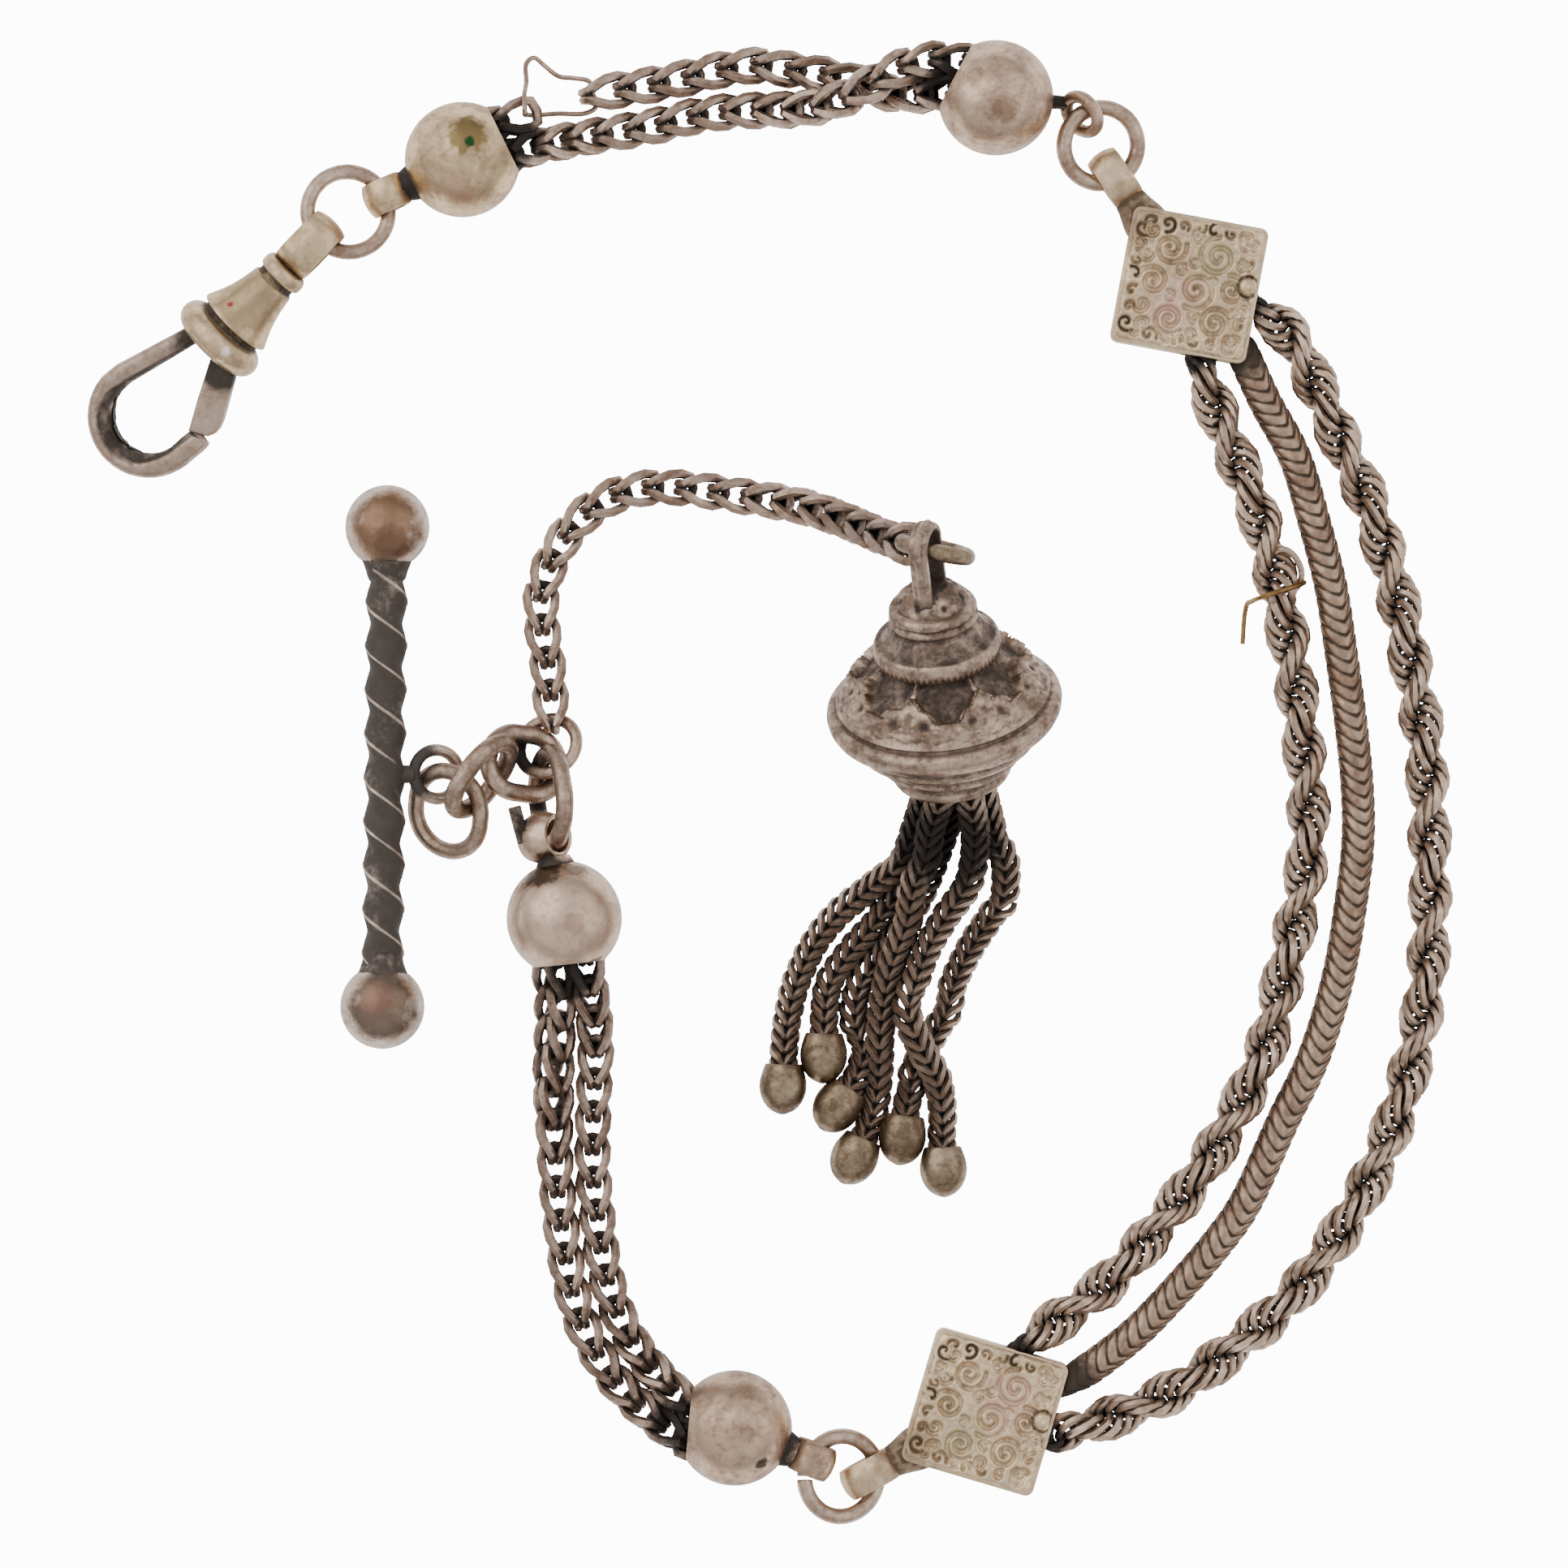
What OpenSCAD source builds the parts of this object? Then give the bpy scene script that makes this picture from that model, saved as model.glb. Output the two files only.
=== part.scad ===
// Albertina watch chain lying flat, seen from above with +Y up the picture. Millimetres.

/* [Balls] */
// Outer radius of the four hollow balls
ball_r = 3.55; // [3.45:0.05:3.65]
// Wall of the hollow balls
ball_wall = 0.4; // [0.3:0.05:0.5]
// Distance from a ball's centre to the plane of its mouth
mouth_d = 2.55; // [2.5:0.05:2.65]
// Radius of a ball's mouth
mouth_r = 2.32; // [2.15:0.01:2.35]
// Distance from a ball's centre to the middle of its bail's hole
bail_d = 5.15; // [5.1:0.05:5.2]
// Width of a strap bail along its hole
strap_w = 2.1; // [1.8:0.1:2.3]
// Thickness of a strap bail
strap_t = 0.5; // [0.4:0.05:0.55]

/* [Slides] */
// Side of the square slides
slide_side = 8.45; // [8.3:0.05:8.6]
// Thickness of the square slides
slide_t = 3.2; // [3:0.1:3.4]
// Step round the slides' two faces
slide_step = 0.2; // [0.1:0.05:0.3]

/* [Foxtail chains] */
// Distance from one folded link to the next
link_pitch = 2.05; // [2:0.05:2.1]
// Radius of the links' wire
link_wire = 0.17; // [0.14:0.01:0.18]
// Half width of a link's open end
link_half = 0.78; // [0.76:0.01:0.8]
// Half width of a link's fold
fold_half = 0.21; // [0.2:0.01:0.22]
// Height of a link's shoulders over the middle of the chain
shoulder_z = 0.92; // [0.9:0.01:0.94]

/* [Slide chains] */
// Radius of the two rope chains
rope_r = 1.45; // [1.3:0.05:1.5]
// Radius of the snake chain
snake_r = 1.05; // [0.9:0.05:1.1]
// Radius of the three chains where they enter the slides
chain_end_r = 0.75; // [0.7:0.05:0.8]

/* [Rings] */
// Radius of the clip ring's middle line
clip_ring_r = 2.5; // [2.48:0.01:2.52]
// Radius of the upper ring's middle line
upper_ring_r = 2.34; // [2.32:0.01:2.36]
// Radius of the lower ring's middle line
lower_ring_r = 2.47; // [2.45:0.01:2.49]
// Radius of the clip ring's wire
ring_wire = 0.42; // [0.38:0.01:0.46]
// Radius of the upper and lower rings' wire
heavy_wire = 0.46; // [0.4:0.01:0.48]
// Radius of the tassel ring's wire
tassel_wire = 0.5; // [0.45:0.01:0.52]
// Radius of the oval links' wire
oval_wire = 0.45; // [0.4:0.01:0.46]

/* [Clip] */
// Radius of the clip's rolled collar
collar_r = 2.95; // [2.9:0.05:3]
// Radius of the roll itself
roll_r = 0.9; // [0.85:0.05:0.95]
// Radius of the round bend of the hook
hook_r = 3.05; // [3:0.05:3.1]
// Width of the hook's bar, seen from above
hook_w = 1.35; // [1.2:0.05:1.4]
// Depth of the hook's bar
hook_t = 1.9; // [1.6:0.1:2]
// Distance from the gate's pin to its tip
gate_len = 5.05; // [5:0.05:5.1]

/* [T-bar] */
// Distance between the middles of the T-bar's balls
bar_len = 29.5; // [29:0.5:30]
// Radius of the T-bar's balls
bar_ball_r = 2.6; // [2.5:0.05:2.65]
// Radius of the twisted stem
stem_r = 1.25; // [1.15:0.05:1.3]
// Length of one full turn of the stem's twist
twist_pitch = 5.3; // [5:0.1:5.6]

/* [Tassel] */
// Radius of the cap's rim
rim_r = 7.25; // [7.15:0.05:7.3]
// Slope of the cap's axis over the ground, in degrees
cap_slope = 37; // [36:1:38]
// Radius of a fine strand
strand_r = 0.8; // [0.7:0.05:0.85]
// Radius of the strands' domed tips
tip_r = 1.45; // [1.4:0.05:1.5]

/* [Hidden] */

// Smoothness of the turned and round pieces
round_fn = 48;
// Smallest play between two pieces that touch
play = 0.1;
// Height of the balls' chains inside the balls
chain_in_z = 3.45;
// Radius of the thin repair wires
repair_r = 0.15;

// Colours of the finishes
silver = [0.66, 0.58, 0.53];
pale_silver = [0.7, 0.65, 0.56];
dark_silver = [0.3, 0.28, 0.26];
brass = [0.6, 0.47, 0.25];

// Middles of the balls, the way their bails point and the way their mouths point
ball_clip_at = [-18.85, 38.25, ball_r];
ball_upper_at = [13.9, 42.05, ball_r];
ball_bar_at = [-12.6, -8.35, ball_r];
ball_lower_at = [-2.15, -39.65, ball_r];

// Middles of the slides and the way their bails point
slide_upper_at = [25.85, 30.6, slide_t / 2];
slide_upper_turn = 124.5;
slide_lower_at = [13.25, -38.75, slide_t / 2];
slide_lower_turn = 208.5;

// Clip: middle of its collar, heading of its axis and rise towards the eye
clip_at = [-33.8, 27.3, 2.97];
clip_heading = 45;
clip_rise = 11;
pin_at = [-0.28, -1.0];
pin_r = 0.3;
knuckle_r = 0.5;
shank_r = 0.6;
head_r = 1.05;
eye_at = 8.7;

// Soldered loop of the upper ball: middle, heading, rise, roll, size
loop_at = [19.23, 41.09, 2.67];
loop_turn = [-4.4, 43.9, 31.3];
loop_r = 1.2;
loop_wire = 0.4;

// Routes of the foxtail chains, from the folded end of the first link
strand_a_route = [
    [-11.3, 42.3, 1.1], [-9.2, 42.7, 1.1], [-7.2, 43.0, 1.1], [-5.2, 43.4, 1.1],
    [-3.1, 43.9, 1.1], [-1.1, 44.2, 1.1], [0.9, 44.0, 1.1], [2.8, 43.7, 1.1],
    [4.6, 43.4, 1.1], [6.3, 42.8, 1.25], [8.1, 42.3, 1.8], [10.0, 42.3, 2.8],
    [11.65, 42.4, 3.5], [13.25, 41.7, 3.6]
];
strand_b_route = [
    [-17.8, 37.6, 3.45], [-16.0, 38.45, 3.3], [-14.2, 39.15, 2.7], [-12.5, 39.5, 1.9],
    [-11.0, 39.8, 1.3], [-9.7, 40.0, 1.1], [-7.9, 40.3, 1.1], [-6.4, 40.6, 1.1],
    [-4.9, 41.0, 1.1], [-3.0, 41.3, 1.1], [-1.1, 41.4, 1.2], [0.8, 41.4, 1.7],
    [2.8, 41.5, 2.7], [4.6, 42.0, 3.5], [6.3, 42.9, 3.9], [8.1, 43.9, 3.95],
    [10.0, 44.4, 3.75], [12.0, 44.3, 3.6], [13.95, 43.4, 3.55]
];
stub_route = [[-18.72, 39.55, 3.45], [-16.9, 40.42, 3.45], [-15.0, 41.05, 3.05]];
strand_c_route = [
    [-13.57, -9.06, 3.45], [-13.36, -11.1, 3.3], [-13.2, -13.0, 2.7], [-13.2, -15.0, 1.8],
    [-13.3, -17.0, 1.2], [-13.3, -19.3, 1.1], [-13.2, -23.3, 1.1], [-12.9, -26.8, 1.1],
    [-12.4, -30.3, 1.1], [-11.6, -33.3, 1.1], [-10.1, -36.1, 1.2], [-8.7, -37.75, 1.7],
    [-7.0, -39.2, 2.5], [-5.0, -40.5, 3.45], [-2.95, -40.6, 3.45]
];
strand_d_route = [
    [-11.49, -8.84, 3.45], [-11.28, -10.88, 3.3], [-11.0, -12.8, 2.7], [-10.75, -14.8, 1.8],
    [-10.7, -16.8, 1.2], [-10.8, -18.8, 1.1], [-10.9, -23.3, 1.1], [-10.6, -26.8, 1.1],
    [-10.1, -30.3, 1.1], [-9.1, -33.3, 1.1], [-7.8, -35.4, 1.7], [-6.3, -37.0, 2.7],
    [-4.7, -38.5, 3.45], [-2.7, -38.7, 3.45]
];
pendant_route = [
    [-13.42, 3.38, 1.1], [-13.5, 5.5, 1.1], [-13.7, 7.6, 1.1], [-14.0, 9.5, 1.1],
    [-14.1, 11.2, 1.1], [-13.8, 12.8, 1.1], [-13.0, 14.4, 1.1], [-12.0, 16.0, 1.1],
    [-10.4, 17.2, 1.1], [-8.7, 18.0, 1.1], [-6.8, 18.2, 1.1], [-4.7, 18.1, 1.1],
    [-2.8, 17.8, 1.1], [-0.8, 17.5, 1.2], [1.0, 17.2, 1.7], [2.7, 16.8, 2.7],
    [4.3, 16.2, 4.0], [5.9, 15.5, 5.7], [7.4, 14.8, 7.6], [8.95, 14.4, 9.65]
];

// Routes of the three chains between the slides
rope_inner_route = [
    [26.5, 26.6, 1.6], [26.8, 25.0, 1.5], [28.2, 21.2, 1.5], [29.7, 17.7, 1.5],
    [30.9, 13.7, 1.5], [31.8, 9.7, 1.5], [32.4, 6.1, 1.5], [32.9, 2.3, 1.5],
    [33.2, -1.4, 1.5], [33.1, -4.8, 1.5], [32.5, -8.3, 1.5], [31.7, -11.8, 1.5],
    [30.6, -16.3, 1.5], [29.0, -19.8, 1.5], [26.9, -23.5, 1.5], [24.4, -26.8, 1.5],
    [21.8, -29.9, 1.5], [19.5, -31.9, 1.5], [17.3, -33.5, 1.5], [15.2, -35.2, 1.6]
];
snake_route = [
    [28.7, 27.5, 1.5], [29.3, 26.2, 1.4], [30.6, 23.4, 1.1], [32.4, 20.0, 1.1],
    [33.6, 16.0, 1.1], [34.6, 12.1, 1.1], [35.2, 8.3, 1.1], [35.8, 4.0, 1.1],
    [36.2, 0.2, 1.1], [36.3, -3.1, 1.1], [36.0, -6.3, 1.1], [35.1, -11.8, 1.1],
    [33.6, -16.8, 1.1], [31.6, -21.0, 1.1], [29.4, -25.8, 1.1], [27.6, -28.4, 1.1],
    [25.3, -31.1, 1.1], [22.7, -33.8, 1.1], [20.2, -35.8, 1.1], [18.6, -36.8, 1.4],
    [17.6, -37.4, 1.5]
];
rope_outer_route = [
    [29.4, 29.7, 1.6], [30.9, 28.6, 1.5], [32.3, 27.2, 1.5], [33.8, 24.2, 1.5],
    [35.5, 20.3, 1.5], [37.0, 17.1, 1.5], [38.2, 13.2, 1.5], [39.0, 10.1, 1.5],
    [39.7, 6.2, 1.5], [40.3, 2.9, 1.5], [40.6, -1.2, 1.5], [40.7, -5.8, 1.5],
    [40.6, -10.8, 1.5], [40.0, -15.3, 1.5], [38.8, -20.0, 1.5], [37.1, -24.3, 1.5],
    [34.8, -28.3, 1.5], [32.1, -31.8, 1.5], [28.9, -34.6, 1.5], [25.9, -36.9, 1.5],
    [23.2, -38.3, 1.5], [20.6, -39.3, 1.5], [18.6, -39.9, 1.5], [16.7, -40.3, 1.6]
];

// Tassel: middle of the rim, heading of the cap's axis and turn of its bail
cap_at = [10.7, 4.75, 5.93];
cap_heading = 97.5;
bail_turn = -25;

// Angle round the plug at which each fine strand starts, from the lowest side
strand_angles = [90, 30, -30, 150, -90, -150];

// Routes of the fine strands outside the cap, up to their tips
tassel_routes = [
    [[9.1, -2.4, 2.3], [7.9, -5.1, 1.6], [6.1, -6.6, 1.0], [4.1, -8.3, 0.85],
     [2.6, -10.3, 0.85], [1.6, -12.6, 0.85], [1.1, -14.8, 0.85], [0.9, -16.8, 1.1],
     [0.85, -18.3, 1.35]],
    [[9.9, -3.0, 1.1], [8.7, -5.8, 0.9], [6.7, -8.5, 0.85], [4.9, -10.6, 0.85],
     [3.7, -12.6, 0.85], [3.4, -14.4, 1.1], [3.35, -16.4, 1.35]],
    [[10.6, -3.6, 0.9], [9.1, -7.3, 0.85], [7.1, -10.4, 0.85], [5.6, -12.6, 0.85],
     [5.3, -14.8, 0.9], [5.75, -16.8, 1.0], [5.25, -18.3, 1.1], [4.4, -19.6, 1.35]],
    [[9.9, -3.0, 3.3], [9.5, -5.0, 2.9], [8.8, -6.8, 2.5], [8.4, -8.8, 2.2],
     [7.5, -11.3, 1.9], [7.0, -13.8, 1.6], [6.8, -16.0, 1.4], [6.7, -18.2, 1.0],
     [6.4, -20.3, 0.9], [5.95, -21.6, 1.1], [5.4, -22.75, 1.35]],
    [[13.9, -3.6, 2.0], [14.5, -5.4, 1.4], [14.2, -7.5, 0.9], [13.3, -8.8, 0.85],
     [12.2, -10.6, 0.85], [11.3, -12.6, 0.85], [10.8, -14.4, 0.85], [10.0, -15.8, 0.85],
     [8.9, -18.0, 0.85], [8.6, -19.5, 0.9], [8.4, -20.4, 1.1], [8.25, -21.45, 1.35]],
    [[12.6, -3.6, 3.2], [12.1, -6.3, 2.6], [10.6, -8.7, 2.3], [9.6, -10.6, 2.3],
     [8.9, -12.6, 2.4], [8.6, -14.0, 2.5], [8.9, -15.4, 2.6], [9.7, -17.1, 2.1],
     [10.4, -18.7, 1.5], [10.65, -20.6, 1.1], [10.65, -22.2, 1.1], [10.7, -23.4, 1.35]]
];

// Thin wire that ties the broken strand to the first ball
repair_path = [
    [-15.0, 41.1, 2.1], [-15.0, 41.1, 4.0], [-15.05, 42.2, 3.7], [-14.95, 43.1, 2.5],
    [-15.0, 44.2, 1.7], [-14.5, 44.65, 1.4], [-13.9, 44.2, 1.4], [-13.0, 43.5, 1.6],
    [-12.0, 43.4, 1.2], [-11.1, 43.2, 1.1], [-10.86, 42.38, 1.1], [-10.72, 41.6, 1.1],
    [-11.5, 41.2, 1.3], [-13.0, 41.2, 1.5], [-14.3, 41.1, 1.6]
];

function unit(v) = v / norm(v);

// Length of a route up to its point n
function run(route, n) = n == 0 ? 0 : run(route, n - 1) + norm(route[n] - route[n - 1]);

// Point of a route at the distance s from its start
function along(route, s, i = 0) =
    let (step = norm(route[i + 1] - route[i]))
    s <= step || i == len(route) - 2
        ? route[i] + (route[i + 1] - route[i]) * s / step
        : along(route, s - step, i + 1);

// Faces of a skin of rings, each with a number of sides, two triangles to a patch
function skin(rings, sides, closed) = [
    for (i = [0 : closed ? rings - 1 : rings - 2], k = [0 : sides - 1], half = [0, 1])
        let (
            a = i * sides + k,
            b = i * sides + (k + 1) % sides,
            c = ((i + 1) % rings) * sides + (k + 1) % sides,
            d = ((i + 1) % rings) * sides + k
        )
        half == 0 ? [a, d, c] : [a, c, b]
];

// Tube along an open route, with its own radius at both ends; lean is never along the route
module tube(route, radius, end_radius, sides = 8, lean = [0, 0, 1]) {
    last = len(route) - 1;
    points = [
        for (i = [0 : last])
            let (
                way = unit(route[min(i + 1, last)] - route[max(i - 1, 0)]),
                side = unit(cross(lean, way)),
                up = cross(way, side),
                r = i == 0 || i == last ? end_radius : radius
            )
            for (k = [0 : sides - 1])
                route[i] + r * (cos(360 * k / sides) * side + sin(360 * k / sides) * up)
    ];
    caps = [
        [for (k = [0 : sides - 1]) k],
        [for (k = [sides - 1 : -1 : 0]) last * sides + k]
    ];
    polyhedron(points, concat(skin(last + 1, sides, false), caps), convexity = 6);
}

// Wire along a closed path round the point middle
module wire_loop(path, middle, radius, sides = 5) {
    n = len(path);
    points = [
        for (i = [0 : n - 1])
            let (
                way = unit(path[(i + 1) % n] - path[(i + n - 1) % n]),
                out = path[i] - middle,
                side = unit(out - (out * way) * way),
                up = cross(way, side)
            )
            for (k = [0 : sides - 1])
                path[i] + radius * (cos(360 * k / sides) * side + sin(360 * k / sides) * up)
    ];
    polyhedron(points, skin(n, sides, true), convexity = 6);
}

// Middle line of one folded link: x along the chain, y across it, z up
function link_path(stretch, half) =
    let (
        neck = [0.12 * stretch, fold_half, shoulder_z],
        arm = [1.25 * stretch, half, 0.7],
        corner = [2.7 * stretch, half - 0.06, 0.25],
        right = [corner, arm, neck, [-0.2, fold_half, 0]],
        left = [for (p = right) [p.x, -p.y, p.z]]
    )
    concat(
        right,
        [for (i = [2 : -1 : 0]) [right[i].x, right[i].y, -right[i].z]],
        [for (i = [0 : 2]) [left[i].x, left[i].y, -left[i].z]],
        [for (i = [3 : -1 : 0]) left[i]]
    );

// Foxtail chain along a route; the last link may open wider
module foxtail(route, last_half = link_half) {
    length = run(route, len(route) - 1);
    links = round(length / link_pitch);
    pitch = length / links;
    for (i = [0 : links - 1]) {
        from = along(route, i * pitch);
        x = unit(along(route, (i + 1) * pitch) - from);
        y = unit(cross([0, 0, 1], x));
        z = cross(x, y);
        half = i == links - 1 ? last_half : link_half;
        path = link_path(pitch / link_pitch, half);
        placed = [for (p = path) from + p.x * x + p.y * y + p.z * z];
        wire_loop(placed, from + 1.3 * x, link_wire);
    }
}

// Round ring lying in its own plane
module ring(major, wire) {
    rotate_extrude($fn = round_fn) translate([major, 0]) circle(wire, $fn = 24);
}

// Oval link: two half rings and two straight stretches, long along X
module oval(major, straight, wire) {
    for (s = [0, 180]) rotate([0, 0, s]) {
        translate([straight, 0, 0])
            rotate([0, 0, -90])
                rotate_extrude(angle = 180, $fn = round_fn) translate([major, 0]) circle(wire, $fn = 24);
        translate([-straight, major, 0])
            rotate([0, 90, 0])
                cylinder(h = 2 * straight, r = wire, $fn = 24);
    }
}

// Places a ring or link by its middle, the heading and rise of its long way, and its roll
module placed(at, heading, rise, roll) {
    translate(at) rotate([0, 0, heading]) rotate([0, -rise, 0]) rotate([roll, 0, 0]) children();
}

// Strap bail round the Y axis, with a hole that may be longer along X
module strap(hole_r, straight, width) {
    rotate([90, 0, 0]) linear_extrude(width, center = true) difference() {
        union() {
            for (s = [-1, 1]) translate([s * straight, 0]) circle(hole_r + strap_t, $fn = round_fn);
            if (straight > 0) square([2 * straight, 2 * (hole_r + strap_t)], center = true);
        }
        for (s = [-1, 1]) translate([s * straight, 0]) circle(hole_r, $fn = round_fn);
        if (straight > 0) square([2 * straight, 2 * hole_r], center = true);
    }
}

// Hollow ball, turned about the axis of its mouth, which points to X turned by mouth
module ball_shell(mouth) {
    rotate([0, 0, mouth]) rotate([0, 90, 0]) rotate_extrude($fn = round_fn) difference() {
        circle(ball_r, $fn = 96);
        circle(ball_r - ball_wall, $fn = 96);
        translate([-5, -5]) square([5, 10]);
        translate([0, mouth_d]) square(5);
        square([mouth_r, 5]);
    }
}

// Bar inside a ball that the folds of two chains go round
module inner_bar(mouth, depth) {
    half = sqrt(pow(ball_r - ball_wall / 2, 2) - pow(depth, 2));
    rotate([0, 0, mouth])
        translate([depth, 0, chain_in_z - ball_r])
            rotate([90, 0, 0])
                cylinder(h = 2 * half, r = 0.35, center = true, $fn = 24);
}

// Post inside a ball that goes through the last link of a chain
module inner_post(spot, middle) {
    from_middle = norm([spot.x - middle.x, spot.y - middle.y]);
    half = sqrt(pow(ball_r - ball_wall / 2, 2) - pow(from_middle, 2));
    translate([spot.x - middle.x, spot.y - middle.y, 0])
        cylinder(h = 2 * half, r = 0.32, center = true, $fn = 24);
}

// Short soldered foot between a ball and its bail, along X
module ball_foot(from, to, r) {
    translate([from, 0, 0]) rotate([0, 90, 0]) cylinder(h = to - from, r1 = r * 1.15, r2 = r, $fn = round_fn);
}

module ball_clip() color(pale_silver) translate(ball_clip_at) {
    ball_shell(26);
    inner_bar(26, 1.25);
    rotate([0, 0, 205]) {
        translate([bail_d, 0, 0]) strap(0.95, 0, strap_w);
        ball_foot(ball_r - 0.25, bail_d - 1.1, 0.9);
    }
}

module ball_upper() color(silver) translate(ball_upper_at) {
    ball_shell(152);
    inner_post(strand_a_route[13], ball_upper_at);
    inner_post(strand_b_route[18], ball_upper_at);
    rotate([0, 15.6, -3.1]) ball_foot(ball_r - 0.25, 4.6, 0.4);
    placed(loop_at - ball_upper_at, loop_turn[0], loop_turn[1], loop_turn[2]) ring(loop_r, loop_wire);
}

module ball_lower() color(silver) translate(ball_lower_at) {
    ball_shell(175);
    inner_post(strand_c_route[14], ball_lower_at);
    inner_post(strand_d_route[13], ball_lower_at);
    rotate([0, 0, -22]) {
        translate([bail_d, 0, -0.25]) strap(0.95, 0, strap_w);
        ball_foot(ball_r - 0.25, bail_d - 1.1, 0.9);
    }
}

module ball_bar() color(silver) translate(ball_bar_at) {
    ball_shell(-84);
    inner_bar(-84, 1.25);
    rotate([0, 0, 99.3]) {
        translate([4.96, 0, -0.15]) rotate([-45, 0, 0]) strap(1.0, 0, 1.5);
        ball_foot(ball_r - 0.25, 3.8, 0.85);
    }
}

// Square slide: X points to its bail, the three chains enter at the opposite corner
module slide(at, turn, ends) {
    difference() {
        translate(at) rotate([0, 0, turn]) {
            rotate([0, 0, 45]) {
                cube([slide_side, slide_side, slide_t - 2 * slide_step], center = true);
                cube([slide_side - 2 * slide_step, slide_side - 2 * slide_step, slide_t], center = true);
            }
            translate([8.05, 0, 0.15]) strap(0.8, 0.55, 2);
            translate([4.9, 0, 0]) rotate([0, 90, 0]) cylinder(h = 1.6, r1 = 1.5, r2 = 0.95, $fn = round_fn);
        }
        for (e = ends) {
            way = unit(e[1] - e[0]);
            translate(e[0] - 0.2 * way)
                rotate([0, acos(way.z), atan2(way.y, way.x)])
                    cylinder(h = 4, r = chain_end_r + 0.55, $fn = round_fn);
        }
    }
}

module slide_upper() color(pale_silver)
    slide(slide_upper_at, slide_upper_turn, [
        [rope_inner_route[0], rope_inner_route[1]],
        [snake_route[0], snake_route[1]],
        [rope_outer_route[0], rope_outer_route[1]]
    ]);

module slide_lower() color(pale_silver)
    slide(slide_lower_at, slide_lower_turn, [
        [rope_inner_route[19], rope_inner_route[18]],
        [snake_route[20], snake_route[19]],
        [rope_outer_route[23], rope_outer_route[22]]
    ]);

module rope_inner() color(silver) tube(rope_inner_route, rope_r, chain_end_r);
module rope_outer() color(silver) tube(rope_outer_route, rope_r, chain_end_r);
module snake_middle() color(silver) tube(snake_route, snake_r, chain_end_r);

module strand_upper_a() color(silver) foxtail(strand_a_route);
module strand_upper_b() color(silver) foxtail(strand_b_route);
module strand_stub() color(silver) foxtail(stub_route);
module strand_lower_c() color(silver) foxtail(strand_c_route);
module strand_lower_d() color(silver) foxtail(strand_d_route);
module pendant_chain() color(silver) foxtail(pendant_route, 1.05);

// Turned body of the clip along X, hollow for the gate and the swivel's head
module clip_body() color(pale_silver) clip_frame() difference() {
    rotate([0, 90, 0]) {
        rotate_extrude($fn = round_fn) translate([collar_r - roll_r, 0]) circle(roll_r, $fn = 32);
        rotate_extrude($fn = round_fn) polygon([
            [0, -roll_r], [2.05, -roll_r], [2.05, 1.15], [2.3, 1.15], [1.85, 2.5], [1.42, 4.0],
            [1.25, 5.0], [1.08, 5.05], [1.08, 5.2], [1.3, 5.25], [1.3, 6.15], [1.2, 6.25], [0, 6.25]
        ]);
    }
    rotate([0, 90, 0]) {
        translate([0, 0, -2]) cylinder(h = 2.7, r = 1.9, $fn = round_fn);
        cylinder(h = 3.2, r = 1.2, $fn = round_fn);
        cylinder(h = 8, r = shank_r + 0.05, $fn = round_fn);
    }
    translate([pin_at.x, pin_at.y, 0])
        cylinder(h = 2.5 * collar_r, r = pin_r + 0.05, center = true, $fn = 24);
}

module clip_frame() {
    translate(clip_at) rotate([0, 0, clip_heading]) rotate([0, -clip_rise, 0]) children();
}

// Flat hook: a round bend, a straight arm into the collar and a short tail towards the gate
module clip_hook() color(silver) clip_frame() {
    bend_at = [-6.6, -0.25];
    half = hook_w / 2;
    linear_extrude(hook_t, center = true) {
        difference() {
            translate(bend_at) circle(hook_r + half, $fn = 96);
            translate(bend_at) circle(hook_r - half, $fn = 96);
            translate([bend_at.x + 0.45, -10]) square([12, 20]);
        }
        polygon([[-6.2, 2.12], [-1.0, 0.75], [-1.0, 1.95], [-3.0, 2.55], [-6.2, 3.46]]);
    }
    difference() {
        linear_extrude(hook_t, center = true)
            polygon([[-6.2, -3.95], [-4.4, -4.05], [-4.4, -2.9], [-6.2, -2.6]]);
        translate([pin_at.x, pin_at.y, 0])
            cylinder(h = 4, r = gate_len + play, center = true, $fn = 96);
    }
    translate([-1.05, 0.5, -0.7]) cube([1.6, 0.9, 1.4]);
}

// Gate: a knuckle on the pin and a bar that widens to its tip
module clip_gate() color(silver) clip_frame() translate([pin_at.x, pin_at.y, 0]) rotate([0, 0, 207]) {
    difference() {
        union() {
            cylinder(h = 1.2, r = knuckle_r, center = true, $fn = 32);
            linear_extrude(1.2, center = true)
                polygon([[0, -0.34], [1.2, -0.36], [1.7, -0.55], [4.6, -0.9], [6, -0.95],
                         [6, 0.95], [4.6, 0.9], [1.7, 0.55], [1.2, 0.36], [0, 0.34]]);
        }
        cylinder(h = 3, r = pin_r + 0.04, center = true, $fn = 24);
        difference() {
            cylinder(h = 3, r = 9, center = true, $fn = 96);
            cylinder(h = 4, r = gate_len, center = true, $fn = 96);
        }
    }
}

module clip_gate_pin() color(silver) clip_frame()
    translate([pin_at.x, pin_at.y, 0]) cylinder(h = 5.2, r = pin_r, center = true, $fn = 24);

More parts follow.
